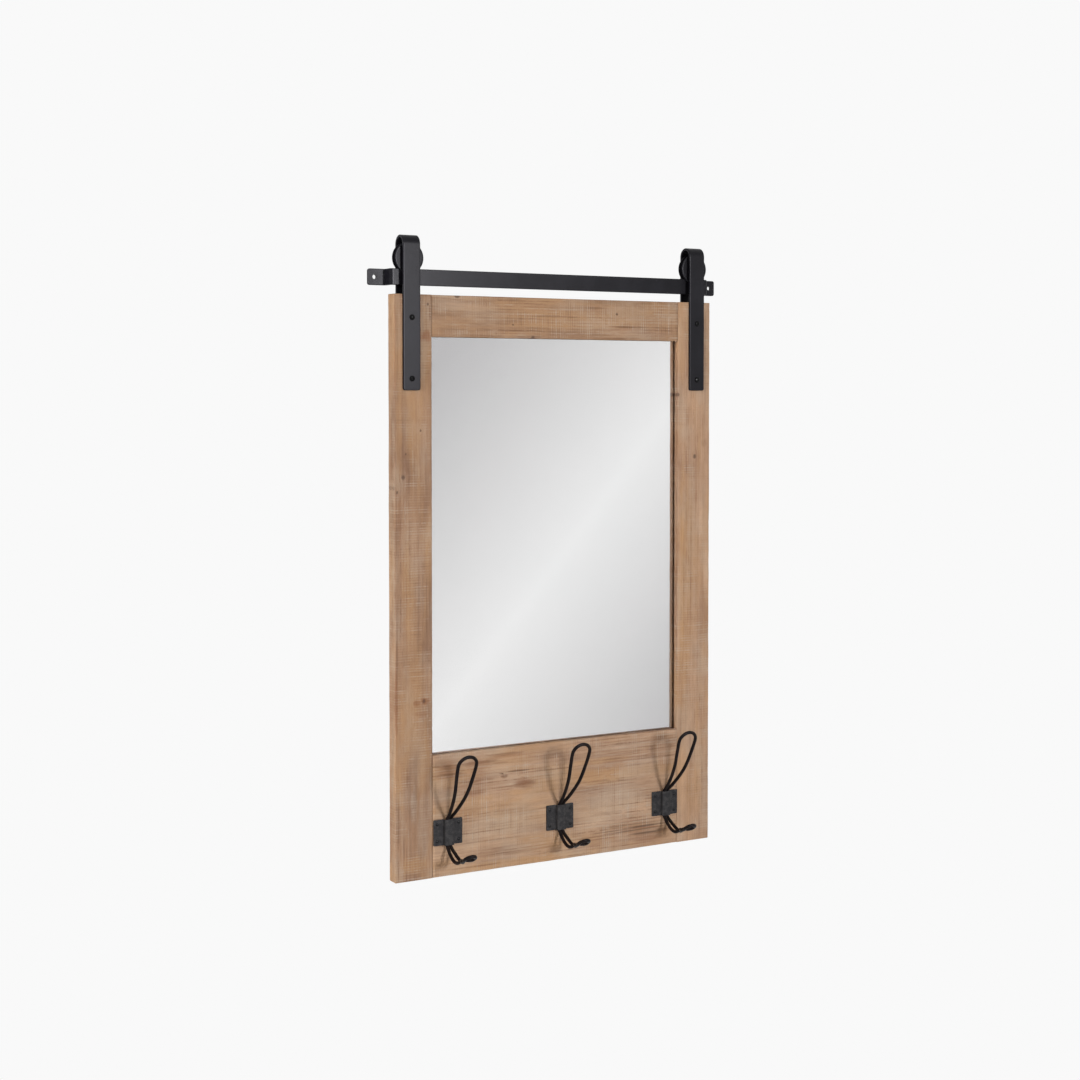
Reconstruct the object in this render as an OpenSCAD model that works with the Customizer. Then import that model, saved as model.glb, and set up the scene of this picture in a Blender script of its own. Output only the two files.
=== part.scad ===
// Wall mirror in a frame of sawn boards, with three double wire hooks.
// The frame hangs by two grooved wheels from a flat rail that is fixed to the wall.
// Millimetres. The origin is on the wall, midway between the two holes of the rail.
// +X is to the right, +Y into the wall, +Z up.

/* [Frame] */
// Width of the board frame
panel_w = 508; // [480:1:600]
// Height of the board frame
panel_h = 788; // [740:1:900]
// Thickness of the boards
board_t = 19; // [18:0.5:22]
// Width of the two upright boards
stile_w = 56; // [52:1:70]
// Height of the top board
top_board_h = 56.5; // [52:0.5:70]
// Height of the bottom board, which carries the hooks
bottom_board_h = 167; // [155:1:190]
// Rounding of the sawn edges
edge_ease = 1.5; // [1:0.1:2]

/* [Mirror] */
// Thickness of the mirror glass
glass_t = 4; // [3:0.5:5]
// How far the glass lies behind the front of the boards
glass_setback = 8.4; // [7:0.1:9]
// How far the glass reaches behind the boards on each side
rabbet = 10; // [8:0.5:12]

/* [Rail] */
// How far a wall hole lies outside the side of the frame
ear_reach = 16; // [16:1:30]
// Diameter of the wall holes
wall_hole_d = 6; // [4:0.5:7]
// Height of the flat bar
rail_h = 22; // [20:1:26]
// Thickness of the flat bar
rail_t = 4; // [3:0.5:4]
// Gap between the boards and the wall
wall_gap = 11; // [10:0.5:16]
// Gap between the rail and the top of the boards
rail_clear = 12; // [9:1:20]

/* [Straps and wheels] */
// Width of the hanging straps
strap_w = 25; // [20:1:28]
// Thickness of the hanging straps
strap_t = 3.5; // [3:0.25:4]
// Distance from the side of the frame to the middle of a strap
strap_inset = 25; // [22:1:28]
// Length of a strap below the top of the boards
strap_drop = 128; // [120:1:150]
// Outer diameter of the wheels
wheel_d = 42; // [38:0.2:42]
// Width of the wheels
wheel_w = 11; // [10:0.5:12]

/* [Hooks] */
// Distance from an upright board to the middle of the outer hook beside it
hook_inset = 22; // [22:1:60]
// Height of the middle of the hook plates above the bottom of the frame
hook_z = 61; // [55:1:70]
// Diameter of the hook wire
wire_d = 4.5; // [4:0.1:4.6]
// Width of a hook plate
plate_w = 44; // [42:1:50]
// Height of a hook plate
plate_h = 34; // [32:0.5:35]

/* [Hidden] */
$fn = 48;

wood = [0.69, 0.54, 0.41];
end_wood = [0.60, 0.46, 0.34];
black_coat = [0.22, 0.22, 0.24];
dark_iron = [0.19, 0.19, 0.20];
wire_iron = [0.12, 0.10, 0.10];
bright_steel = [0.62, 0.62, 0.63];
silver_glass = [0.80, 0.82, 0.84];
fibre_board = [0.45, 0.34, 0.25];
black_rubber = [0.10, 0.10, 0.10];

// Planes of the frame
back_y = -wall_gap;
front_y = back_y - board_t;
mid_y = (front_y + back_y) / 2;
panel_top = -(rail_h / 2 + rail_clear);
panel_bottom = panel_top - panel_h;
opening_x = panel_w / 2 - stile_w;
opening_top = panel_top - top_board_h;
opening_bottom = panel_bottom + bottom_board_h;
opening_mid = (opening_top + opening_bottom) / 2;

// Glass and its backing, in the rabbet
glass_y = front_y + glass_setback;
backing_y = glass_y + glass_t;
backing_t = 3;
pane_gap = 1;
pane_x = opening_x + rabbet - pane_gap;
pane_top = opening_top + rabbet - pane_gap;
pane_bottom = opening_bottom - rabbet + pane_gap;

// Dowels between the boards
dowel_d = 8;
dowel_l = 40;
top_dowels = [for (s = [13, 37]) panel_top - s];
bottom_dowels = [for (s = [31, 84, 136]) panel_bottom + s];

// Spring clips over the back of the glass
clip_t = 1;
clip_w = 12;
clip_flange = 14;
clip_tongue = 8;
clip_play = 0.3;
clip_hole_x = -8;
clip_screw_r = 1.5;
clip_screw_l = 11;
clip_head_r = 3;
clip_head_h = 1.8;

// Feet behind the lower corners
bumper_z = panel_bottom + 30;
bumper_r = 8;
bumper_edge = 2;
bumper_tip_r = 5.5;

// Rail: the ends step back to the wall round two tight bends
bend_inside = 1;
bend_r = bend_inside + rail_t / 2;
ear_past_hole = 9.5;
ear_l = 23;
ear_round = 3;
hole_x = panel_w / 2 + ear_reach;
rail_end = hole_x + ear_past_hole;
bend_x = rail_end - ear_l - 2 * bend_r;
bar_edge = 0.7;

// Straps and wheels
strap_x = panel_w / 2 - strap_inset;
strap_bend_z = 43;
strap_back_drop = 45;
strap_corner = 3;
strap_edge = 0.8;
rolling_r = 14.5;
rail_play = 0.3;
axle_z = rail_h / 2 + rolling_r;
axle_d = 6;
running_gap = 0.05;
groove_r = rolling_r - rail_play;
groove_floor = rail_t + 1;
groove_mouth = rail_t + 3;
rim_round = 1.2;
spacer_d = 12;
spacer_play = 0.1;
bolt_d = 4;
bolt_z = panel_top - 31;
bolt_spare = 0.5;
nut_w = 7;
nut_t = 3.2;
screw_z = panel_top - 112.5;
screw_end = front_y + 15;
strap_head_r = 3.9;
strap_head_h = 2.4;

// Hooks
hook_pitch = opening_x - hook_inset;
hook_mid_z = panel_bottom + hook_z;
plate_t = 1.6;
plate_corner = 1.5;
channel_w = 14.8;
channel_h = 6.8;
channel_round = 1.6;
nail_r = 1.2;
nail_l = 14;
nail_head_r = 2.4;
nail_head_h = 1.3;
nail_inset = 5.5;
wire_sides = 10;
wire_steps = 2;

// Half the width of the wire pair where its two strands touch
pair = wire_d / 2 + 0.05;
// Upper loop: a half circle in a plane that leans out from the boards
loop_r = 13.6;
loop_lean = 23;
loop_out = 59;
loop_up = 100.5;
// Eye at the end of the lower hook
neck = [46, -30.3];
eye_r = 7.6;
eye_l = 21.5;
eye_rise = 20;
eye_roll = 10;

// Run of a strand between loop and neck, as [half spread, out from the boards, height]
strand_run = [
    [12.8, 54, 88], [11.6, 49, 76.5], [10.2, 44, 65.5], [8.6, 37, 54], [6.6, 28, 42.5],
    [4.4, 17, 30.5], [pair + 0.5, 9.5, 23.5], [pair, 4.6, 19],
    [pair, 2.9, 15.5], [pair, 2.8, 6], [pair, 2.8, -6], [pair, 2.9, -15.5],
    [pair, 4.8, -19.3], [2.9, 9.5, -22.8], [3.7, 16, -26.2], [4.3, 23, -29.8],
    [4.5, 29, -32.5], [4.2, 35, -34.3], [3.3, 40, -33.9], [pair + 0.1, 43.4, -32.2],
    [pair, neck[0], neck[1]]
];
// Half of the eye, as [distance past the neck, half spread]
half_eye = concat(
    [[5, 3.3], [10, 5.2]],
    [for (a = [120 : -40 : 0]) [eye_l + eye_r * cos(a), eye_r * sin(a)]]
);

// Half of the wire from the top of the upper loop to the end of the eye, as
// [across, out from the boards, height]: side is 1 for the right half, -1 for the left
function strand(side) = concat(
    [for (a = [90 : -30 : 0]) [side * loop_r * cos(a),
        loop_out + loop_r * sin(a) * sin(loop_lean), loop_up + loop_r * sin(a) * cos(loop_lean)]],
    [for (p = strand_run) [side * p[0], p[1], p[2]]],
    [for (p = half_eye) [side * p[1], neck[0] + p[0] * cos(eye_rise),
        neck[1] + p[0] * sin(eye_rise) - side * max(0, p[1] - pair) * tan(eye_roll)]]
);
left_strand = strand(-1);
wire_knots = [for (p = concat(strand(1), [for (i = [len(left_strand) - 2 : -1 : 1]) left_strand[i]]))
    [p[0], -p[1], p[2]]];
wire_line = [for (i = [0 : len(wire_knots) - 1], k = [0 : wire_steps - 1])
    smooth(wire_knots, i, k / wire_steps)];

// ---- Helpers ----

function unit(v) = v / norm(v);
function around(list, i) = list[(i + len(list)) % len(list)];

// Point on a smooth closed curve through the knots, a share t of the way past knot i
function smooth(knots, i, t) =
    let (a = around(knots, i - 1), b = around(knots, i),
         c = around(knots, i + 1), d = around(knots, i + 2))
    (2 * b + (c - a) * t + (2 * a - 5 * b + 4 * c - d) * t * t
        + (3 * b - a - 3 * c + d) * t * t * t) / 2;

// Outline of a rectangle about the origin with rounded corners
function soft_rect(w, h, r, steps = 3) = [
    for (corner = [[1, 1, 0], [-1, 1, 90], [-1, -1, 180], [1, -1, 270]], i = [0 : steps])
        [corner[0] * (w / 2 - r) + r * cos(corner[2] + 90 * i / steps),
         corner[1] * (h / 2 - r) + r * sin(corner[2] + 90 * i / steps)]
];

// Box between two corners
module block(low, high) {
    translate(low) cube(high - low);
}

// Round pin or bore along Y, from y0 to y1
module pin(r, y0, y1) {
    translate([0, y0, 0]) rotate([-90, 0, 0]) cylinder(r = r, h = y1 - y0);
}

// Bar of outline (across, thick) that runs up along Z
module upright_bar(w, t, z0, z1, edge) {
    translate([0, 0, z0]) linear_extrude(z1 - z0) polygon(soft_rect(w, t, edge));
}

// Dome-headed pin along +Y: the dome stands before y = 0 and the shank goes behind it
module dome_pin(head_r, head_h, shank_r, shank_l) {
    ball_r = (head_r * head_r + head_h * head_h) / (2 * head_h);
    intersection() {
        translate([0, ball_r - head_h, 0]) sphere(ball_r);
        pin(head_r, -head_h, 0);
    }
    pin(shank_r, -head_h / 2, shank_l);
}

// Tube of round section along a closed line of points
module closed_wire(line, r, sides) {
    count = len(line);
    ahead = [for (i = [0 : count - 1]) unit(around(line, i + 1) - around(line, i - 1))];
    aside = [for (i = 0, u = [0, 1, 0]; i < count; i = i + 1,
                  u = i < count ? unit(u - (u * ahead[i]) * ahead[i]) : u) u];
    points = [for (i = [0 : count - 1], j = [0 : sides - 1])
        let (up = cross(ahead[i], aside[i]))
        line[i] + r * (cos(360 * j / sides) * aside[i] + sin(360 * j / sides) * up)];
    faces = [for (i = [0 : count - 1], j = [0 : sides - 1])
        let (a = i * sides + j, b = i * sides + (j + 1) % sides,
             c = ((i + 1) % count) * sides + j, d = ((i + 1) % count) * sides + (j + 1) % sides)
        each [[a, b, c], [b, d, c]]];
    polyhedron(points, faces, convexity = 10);
}

// ---- Rail ----

module rail_bar_outline() {
    polygon(soft_rect(rail_t, rail_h, bar_edge));
}

// Right-hand end of the rail: two bends and the ear that lies on the wall
module rail_end_step() {
    step_x = bend_x + bend_r;
    translate([bend_x, mid_y + bend_r, 0]) rotate([0, 0, -90])
        rotate_extrude(angle = 90) translate([bend_r, 0]) rail_bar_outline();
    translate([step_x, mid_y + bend_r, 0]) rotate([-90, 0, 0])
        linear_extrude(-rail_t / 2 - mid_y - 2 * bend_r) rail_bar_outline();
    translate([step_x + bend_r, -rail_t / 2 - bend_r, 0]) rotate([0, 0, 90])
        rotate_extrude(angle = 90) translate([bend_r, 0]) rail_bar_outline();
    intersection() {
        translate([step_x + bend_r, -rail_t / 2, 0]) rotate([90, 0, 90])
            linear_extrude(rail_end - step_x - bend_r) rail_bar_outline();
        translate([rail_end - ear_l, 0, 0]) rotate([90, 0, 0])
            linear_extrude(rail_t) polygon(soft_rect(2 * ear_l, rail_h, ear_round));
    }
}

module rail() {
    color(black_coat) difference() {
        union() {
            translate([-bend_x, mid_y, 0]) rotate([90, 0, 90])
                linear_extrude(2 * bend_x) rail_bar_outline();
            rail_end_step();
            mirror([1, 0, 0]) rail_end_step();
        }
        for (side = [-1, 1])
            translate([side * hole_x, 0, 0]) pin(wall_hole_d / 2, -rail_t - 1, 1);
    }
}

// ---- Board frame ----

// Room for the glass, its backing and the clips behind the opening
module rabbet_cut() {
    block([-opening_x - rabbet, glass_y, opening_bottom - rabbet],
          [opening_x + rabbet, 1, opening_top + rabbet]);
}

module dowels() {
    for (side = [-1, 1], z = concat(top_dowels, bottom_dowels))
        translate([side * opening_x - dowel_l / 2, mid_y, z]) rotate([0, 90, 0])
            cylinder(d = dowel_d, h = dowel_l);
}

module clip_bores() {
    each_clip() translate([clip_hole_x, 0, 0])
        pin(clip_screw_r, back_y - clip_screw_l, back_y + 1);
}

// Upright board: side is -1 for the left one and 1 for the right one
module stile(side) {
    color(wood) difference() {
        translate([side * (panel_w - stile_w) / 2, mid_y, 0])
            upright_bar(stile_w, board_t, panel_bottom, panel_top, edge_ease);
        rabbet_cut();
        dowels();
        clip_bores();
        translate([side * strap_x, 0, bolt_z]) pin(bolt_d / 2, front_y - 1, back_y + 1);
        translate([side * strap_x, 0, screw_z]) pin(bolt_d / 2, front_y - 1, screw_end);
    }
}

// Board between the two upright ones
module cross_board(z0, z1) {
    difference() {
        translate([-opening_x, mid_y, (z0 + z1) / 2]) rotate([90, 0, 90])
            linear_extrude(2 * opening_x) polygon(soft_rect(board_t, z1 - z0, edge_ease));
        rabbet_cut();
        dowels();
        clip_bores();
    }
}

module left_stile() { stile(-1); }
module right_stile() { stile(1); }

module top_board() {
    color(wood) cross_board(opening_top, panel_top);
}

module bottom_board() {
    color(wood) difference() {
        cross_board(panel_bottom, opening_bottom);
        for (place = [-1, 0, 1]) at_hook(place) nail_places() pin(nail_r, -1, nail_l - plate_t);
    }
}

module frame_dowels() {
    color(end_wood) dowels();
}

// ---- Mirror and what holds it ----

module pane(y, t) {
    block([-pane_x, y, pane_bottom], [pane_x, y + t, pane_top]);
}

module mirror_glass() {
    color(silver_glass) pane(glass_y, glass_t);
}

module backing_board() {
    color(fibre_board) pane(backing_y, backing_t);
}

// Puts a clip at each of its places, with +X pointing to the middle of the mirror
module each_clip() {
    edge_x = opening_x + rabbet;
    edge_top = opening_top + rabbet;
    edge_bottom = opening_bottom - rabbet;
    span = (edge_top - edge_bottom) / 3;
    for (side = [0, 1], k = [-1 : 1])
        translate([(side * 2 - 1) * edge_x, 0, opening_mid + k * span])
            rotate([0, side * 180, 0]) children();
    for (side = [-1, 1]) {
        translate([side * opening_x / 2, 0, edge_top]) rotate([0, 90, 0]) children();
        translate([side * opening_x / 2, 0, edge_bottom]) rotate([0, -90, 0]) children();
    }
}

// Sheet clip with a step: screwed to the back of the board, its tongue on the backing
module retainer_clips() {
    tongue_y = backing_y + backing_t;
    color(bright_steel) each_clip() difference() {
        translate([0, 0, -clip_w / 2]) linear_extrude(clip_w) polygon([
            [-clip_flange, back_y], [clip_play, back_y], [clip_play, tongue_y],
            [clip_tongue, tongue_y], [clip_tongue, tongue_y + clip_t],
            [clip_play + clip_t, tongue_y + clip_t], [clip_play + clip_t, back_y + clip_t],
            [-clip_flange, back_y + clip_t]
        ]);
        translate([clip_hole_x, 0, 0]) pin(clip_screw_r, back_y - 1, back_y + clip_t + 1);
    }
}

module clip_screws() {
    color(bright_steel) each_clip() translate([clip_hole_x, back_y + clip_t, 0])
        mirror([0, 1, 0]) dome_pin(clip_head_r, clip_head_h, clip_screw_r, clip_screw_l);
}

// Soft feet behind the lower corners, which keep the frame upright against the wall
module wall_bumpers() {
    color(black_rubber) for (side = [-1, 1])
        translate([side * strap_x, back_y, bumper_z]) rotate([-90, 0, 0])
            rotate_extrude() polygon([
                [0, 0], [bumper_r, 0], [bumper_r, bumper_edge],
                [bumper_tip_r + 1, wall_gap - 1], [bumper_tip_r, wall_gap], [0, wall_gap]
            ]);
}

// ---- Straps, wheels and axles ----

// Strap that is bent over the top of the frame, round the wheel
module strap(side) {
    leg_y = board_t / 2 + strap_t / 2;
    foot_z = panel_top - strap_drop;
    color(black_coat) translate([side * strap_x, 0, 0]) difference() {
        translate([0, mid_y, 0]) union() {
            intersection() {
                translate([0, -leg_y, 0])
                    upright_bar(strap_w, strap_t, foot_z, strap_bend_z, strap_edge);
                translate([0, 0, foot_z + strap_drop]) rotate([90, 0, 0]) linear_extrude(board_t)
                    polygon(soft_rect(strap_w, 2 * strap_drop, strap_corner));
            }
            translate([0, leg_y, 0])
                upright_bar(strap_w, strap_t, panel_top - strap_back_drop, strap_bend_z, strap_edge);
            translate([0, 0, strap_bend_z]) rotate([90, 0, 90]) rotate_extrude(angle = 180)
                translate([leg_y, 0]) polygon(soft_rect(strap_t, strap_w, strap_edge));
        }
        translate([0, 0, axle_z]) pin(axle_d / 2, front_y - strap_t - 1, back_y + strap_t + 1);
        translate([0, 0, bolt_z]) pin(bolt_d / 2, front_y - strap_t - 1, back_y + strap_t + 1);
        translate([0, 0, screw_z]) pin(bolt_d / 2, front_y - strap_t - 1, front_y + 1);
    }
}

module left_strap() { strap(-1); }
module right_strap() { strap(1); }

// Upper bolt with its nut behind the strap, and lower wood screw
module strap_fixings(side) {
    grip = board_t + 2 * strap_t + nut_t + bolt_spare;
    color(dark_iron) translate([side * strap_x, front_y - strap_t, 0]) {
        translate([0, 0, bolt_z]) dome_pin(strap_head_r, strap_head_h, bolt_d / 2, grip);
        translate([0, board_t + 2 * strap_t, bolt_z]) rotate([-90, 0, 0]) difference() {
            cylinder(d = nut_w / cos(30), h = nut_t, $fn = 6);
            translate([0, 0, -1]) cylinder(d = bolt_d, h = nut_t + 2);
        }
        translate([0, 0, screw_z])
            dome_pin(strap_head_r, strap_head_h, bolt_d / 2, screw_end - front_y + strap_t);
    }
}

module left_strap_fixings() { strap_fixings(-1); }
module right_strap_fixings() { strap_fixings(1); }

// Grooved wheel that runs on the top edge of the rail
module wheel(side) {
    rim_r = wheel_d / 2;
    bore_r = axle_d / 2 + running_gap;
    half = wheel_w / 2;
    color(black_coat) translate([side * strap_x, mid_y, axle_z]) rotate([-90, 0, 0])
        rotate_extrude() polygon([
            [bore_r, -half], [rim_r - rim_round, -half], [rim_r, -half + rim_round],
            [rim_r, -groove_mouth / 2], [groove_r, -groove_floor / 2],
            [groove_r, groove_floor / 2], [rim_r, groove_mouth / 2],
            [rim_r, half - rim_round], [rim_r - rim_round, half], [bore_r, half]
        ]);
}

module left_wheel() { wheel(-1); }
module right_wheel() { wheel(1); }

// Plain pin, riveted flush in both legs of the strap
module axle(side) {
    color(dark_iron) translate([side * strap_x, 0, axle_z])
        pin(axle_d / 2, front_y - strap_t, back_y + strap_t);
}

module left_axle() { axle(-1); }
module right_axle() { axle(1); }

// Two collars that keep the wheel in the middle of the strap
module wheel_spacers(side) {
    long = (board_t - wheel_w) / 2 - spacer_play;
    color(dark_iron) translate([side * strap_x, 0, axle_z])
        for (y = [front_y, back_y - long]) difference() {
            pin(spacer_d / 2, y, y + long);
            pin(axle_d / 2, y - 1, y + long + 1);
        }
}

module left_wheel_spacers() { wheel_spacers(-1); }
module right_wheel_spacers() { wheel_spacers(1); }

// ---- Hooks ----

// Moves to the face of the bottom board at one of the three hooks
module at_hook(place) {
    translate([place * hook_pitch, front_y, hook_mid_z]) children();
}

module nail_places() {
    for (x = [-1, 1], z = [-1, 1])
        translate([x * (plate_w / 2 - nail_inset), 0, z * (plate_h / 2 - nail_inset)]) children();
}

// Section of the plate, seen from above: two flanges and the channel over the wires
function arc(x, y, r, from, to, steps = 4) = [for (i = [0 : steps])
    let (a = from + (to - from) * i / steps) [x + r * cos(a), y + r * sin(a)]];

module plate_section() {
    out_x = channel_w / 2;
    in_x = out_x - plate_t;
    in_r = channel_round - plate_t / 2;
    half = concat(
        arc(out_x - channel_round, channel_h - channel_round, channel_round, 90, 0),
        [[out_x, plate_t], [plate_w / 2, plate_t], [plate_w / 2, 0], [in_x, 0]],
        arc(in_x - in_r, channel_h - plate_t - in_r, in_r, 0, 90)
    );
    polygon(concat(half, [for (i = [len(half) - 1 : -1 : 0]) [-half[i][0], half[i][1]]]));
}

// Plate with a pressed channel, laid over the two strands of the wire
module hook_plate(place) {
    color(dark_iron) at_hook(place) difference() {
        intersection() {
            translate([0, 0, -plate_h / 2]) linear_extrude(plate_h)
                mirror([0, 1]) plate_section();
            rotate([90, 0, 0]) linear_extrude(channel_h + 1)
                polygon(soft_rect(plate_w, plate_h, plate_corner));
        }
        nail_places() pin(nail_r, -plate_t - 1, 1);
    }
}

module left_hook_plate() { hook_plate(-1); }
module middle_hook_plate() { hook_plate(0); }
module right_hook_plate() { hook_plate(1); }

// One closed wire, bent into the tall upper loop and the lower hook with its eye
module hook_wire(place) {
    color(wire_iron) at_hook(place) closed_wire(wire_line, wire_d / 2, wire_sides);
}

module left_hook_wire() { hook_wire(-1); }
module middle_hook_wire() { hook_wire(0); }
module right_hook_wire() { hook_wire(1); }

module hook_nails(place) {
    color(dark_iron) at_hook(place) nail_places() translate([0, -plate_t, 0])
        dome_pin(nail_head_r, nail_head_h, nail_r, nail_l);
}

module left_hook_nails() { hook_nails(-1); }
module middle_hook_nails() { hook_nails(0); }
module right_hook_nails() { hook_nails(1); }

rail();
left_stile();
right_stile();
top_board();
bottom_board();
frame_dowels();
mirror_glass();
backing_board();
retainer_clips();
clip_screws();
wall_bumpers();
left_strap();
right_strap();
left_strap_fixings();
right_strap_fixings();
left_wheel();
right_wheel();
left_axle();
right_axle();
left_wheel_spacers();
right_wheel_spacers();
left_hook_plate();
middle_hook_plate();
right_hook_plate();
left_hook_wire();
middle_hook_wire();
right_hook_wire();
left_hook_nails();
middle_hook_nails();
right_hook_nails();
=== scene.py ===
# %% [markdown]
# # A wall mirror with wire hooks, hung from a rail by two grooved wheels
#
# The construction is already made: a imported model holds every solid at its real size, in
# metres, with its joints. This script dresses it. Each piece below either gives a packed
# solid a better surface or stands in for it with a finer mesh in the same place.

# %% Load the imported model
import math

import bmesh
import bpy
from mathutils import Matrix, Vector, noise


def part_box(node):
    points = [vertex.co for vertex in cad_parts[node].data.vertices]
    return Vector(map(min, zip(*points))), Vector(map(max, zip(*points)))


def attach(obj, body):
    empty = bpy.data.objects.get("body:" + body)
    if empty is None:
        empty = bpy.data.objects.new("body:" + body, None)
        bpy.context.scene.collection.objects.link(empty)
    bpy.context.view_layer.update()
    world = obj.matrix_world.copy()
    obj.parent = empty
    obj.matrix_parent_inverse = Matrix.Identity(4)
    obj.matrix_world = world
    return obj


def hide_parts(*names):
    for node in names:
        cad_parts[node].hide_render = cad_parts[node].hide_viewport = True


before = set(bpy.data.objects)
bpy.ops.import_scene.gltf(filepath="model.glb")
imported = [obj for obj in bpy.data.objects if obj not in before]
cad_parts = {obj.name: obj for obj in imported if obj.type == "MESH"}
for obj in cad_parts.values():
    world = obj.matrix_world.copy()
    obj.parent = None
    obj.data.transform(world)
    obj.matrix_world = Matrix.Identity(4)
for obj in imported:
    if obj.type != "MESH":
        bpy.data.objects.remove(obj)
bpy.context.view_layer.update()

# %% [markdown]
# ## Sizes that the whole script uses
#
# Nothing is measured twice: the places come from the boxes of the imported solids, and what a
# box can't tell, such as the radius of a bend, is a named value in millimetres.

# %% Planes and edges of the frame
MM = 0.001

rail_low, rail_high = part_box("rail")
stile_low, stile_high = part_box("left_stile")
glass_low, glass_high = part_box("mirror_glass")

panel_left, panel_front, panel_bottom = stile_low
opening_left, panel_back, panel_top = stile_high
panel_mid_y = (panel_front + panel_back) / 2
opening_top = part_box("top_board")[0].z
opening_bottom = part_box("bottom_board")[1].z
rabbet = 10 * MM

print("frame", round(-2 * panel_left / MM), "x", round((panel_top - panel_bottom) / MM), "mm")

# %% [markdown]
# ## Camera
#
# The photograph fits a 60 mm lens that looks 29.6 degrees to the side, from just over the top
# of the mirror glass. A level camera would need a large shift to bring the frame into the
# picture. A small tilt takes half of it, so that other views are not pushed off centre.

# %% Camera
CAMERA_PLACE = (-1.2638, -2.2021, -0.1558)
CAMERA_YAW = 29.566
CAMERA_TILT = 2.03
CAMERA_SHIFT = -0.0762             # as a share of the picture's side

camera_data = bpy.data.cameras.new("camera")
camera_data.sensor_width = 36
camera_data.lens = 60
camera_data.shift_y = CAMERA_SHIFT
camera = bpy.data.objects.new("camera", camera_data)
camera.location = CAMERA_PLACE
camera.rotation_euler = (math.radians(90 - CAMERA_TILT), 0, -math.radians(CAMERA_YAW))
bpy.context.scene.collection.objects.link(camera)
bpy.context.scene.camera = camera
print("camera at", CAMERA_PLACE)

# %% [markdown]
# ## Nodes that read like sums
#
# A material is a graph of nodes. It could be written node by node and link by link, but then
# nobody sees the sum that it is. A signal is the output of a node, and each + - * or / with it
# adds the Math node. The graph adds any other node with its settings and inputs in one call.


# %% Signal: an output that can be reckoned with
class Signal:
    def __init__(self, graph, socket):
        self.graph, self.socket = graph, socket

    def __add__(self, other):
        return self.graph.math("ADD", self, other)

    def __sub__(self, other):
        return self.graph.math("SUBTRACT", self, other)

    def __rsub__(self, other):
        return self.graph.math("SUBTRACT", other, self)

    def __mul__(self, other):
        return self.graph.math("MULTIPLY", self, other)

    def __truediv__(self, other):
        return self.graph.math("DIVIDE", self, other)

    def __pow__(self, other):
        return self.graph.math("POWER", self, other)

    __radd__, __rmul__ = __add__, __mul__


# %% Graph: a node with its settings and inputs in one call
class Graph:
    """Adds nodes to a tree. out is its last node: a group's output, or a material's shader."""

    def __init__(self, tree, out):
        self.tree, self.out = tree, out

    def set(self, node, inputs):
        for key, value in inputs.items():
            if isinstance(value, Signal):
                self.tree.links.new(value.socket, node.inputs[key])
            else:
                node.inputs[key].default_value = value

    def give(self, inputs):
        self.set(self.out, inputs)

    def signals(self, node):
        return {socket.name: Signal(self, socket) for socket in node.outputs}

    def add(self, kind, inputs=None, output=0, **settings):
        made = self.tree.nodes.new(kind)
        for name, value in settings.items():
            setattr(made, name, value)
        self.set(made, inputs or {})
        return Signal(self, made.outputs[output])

    def group(self, tree, inputs):
        made = self.tree.nodes.new("ShaderNodeGroup")
        made.node_tree = tree
        self.set(made, inputs)
        return self.signals(made)

    def math(self, operation, first, second=0.0, clamp=False):
        return self.add("ShaderNodeMath", {0: first, 1: second}, operation=operation,
                        use_clamp=clamp)

    def most(self, first, second):
        return self.math("MAXIMUM", first, second)

    def clamped(self, value):
        return self.math("ADD", value, 0.0, clamp=True)

    def vector(self, operation, first, second):
        return self.add("ShaderNodeVectorMath", {0: first, 1: second}, operation=operation)

    def length(self, vector):
        return self.add("ShaderNodeVectorMath", {0: vector}, "Value", operation="LENGTH")

    def split(self, place):
        return [self.add("ShaderNodeSeparateXYZ", {0: place}, axis) for axis in "XYZ"]

    def join(self, x, y, z):
        return self.add("ShaderNodeCombineXYZ", {0: x, 1: y, 2: z})

    def noise(self, place, stretch, detail=2.0, roughness=0.5):
        """Noise from 0 to 1, with that many lumps a metre along each axis."""
        return self.add("ShaderNodeTexNoise", {
            "Vector": self.vector("MULTIPLY", place, stretch), "Scale": 1.0, "Detail": detail,
            "Roughness": roughness})

    def step(self, value, low, high):
        """Rises smoothly from 0 to 1 while value goes from low to high."""
        return self.add("ShaderNodeMapRange", {"Value": value, "From Min": low, "From Max": high},
                        interpolation_type="SMOOTHSTEP")

    def mix(self, share, first, second):
        return self.add("ShaderNodeMix", {0: share, 6: first, 7: second}, 2, data_type="RGBA")

    def bump(self, height, distance):
        return self.add("ShaderNodeBump", {"Height": height, "Distance": distance})


# %% Groups, materials and shades
def socket_type(value):
    """Kind of socket that holds this value. A word names the kind itself."""
    if isinstance(value, str):
        return "NodeSocket" + value
    if isinstance(value, tuple):
        return "NodeSocketColor" if len(value) == 4 else "NodeSocketVector"
    return "NodeSocketInt" if isinstance(value, int) else "NodeSocketFloat"


def new_group(name, inputs, outputs, kind="ShaderNodeTree"):
    """Node tree with named sockets. inputs maps a name to its value or its kind of socket."""
    tree = bpy.data.node_groups.new(name, kind)
    for label, value in inputs.items():
        socket = tree.interface.new_socket(label, in_out="INPUT", socket_type=socket_type(value))
        if not isinstance(value, str):
            socket.default_value = value
    for label, value in outputs.items():
        tree.interface.new_socket(label, in_out="OUTPUT", socket_type=socket_type(value))
    graph = Graph(tree, tree.nodes.new("NodeGroupOutput"))
    return graph, graph.signals(tree.nodes.new("NodeGroupInput"))


def new_material(name):
    """Material, its graph that ends in the Principled shader, and the place on the object."""
    material = bpy.data.materials.new(name)
    material.use_nodes = True
    graph = Graph(material.node_tree, material.node_tree.nodes["Principled BSDF"])
    return material, graph, graph.add("ShaderNodeTexCoord", output="Object")


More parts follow.
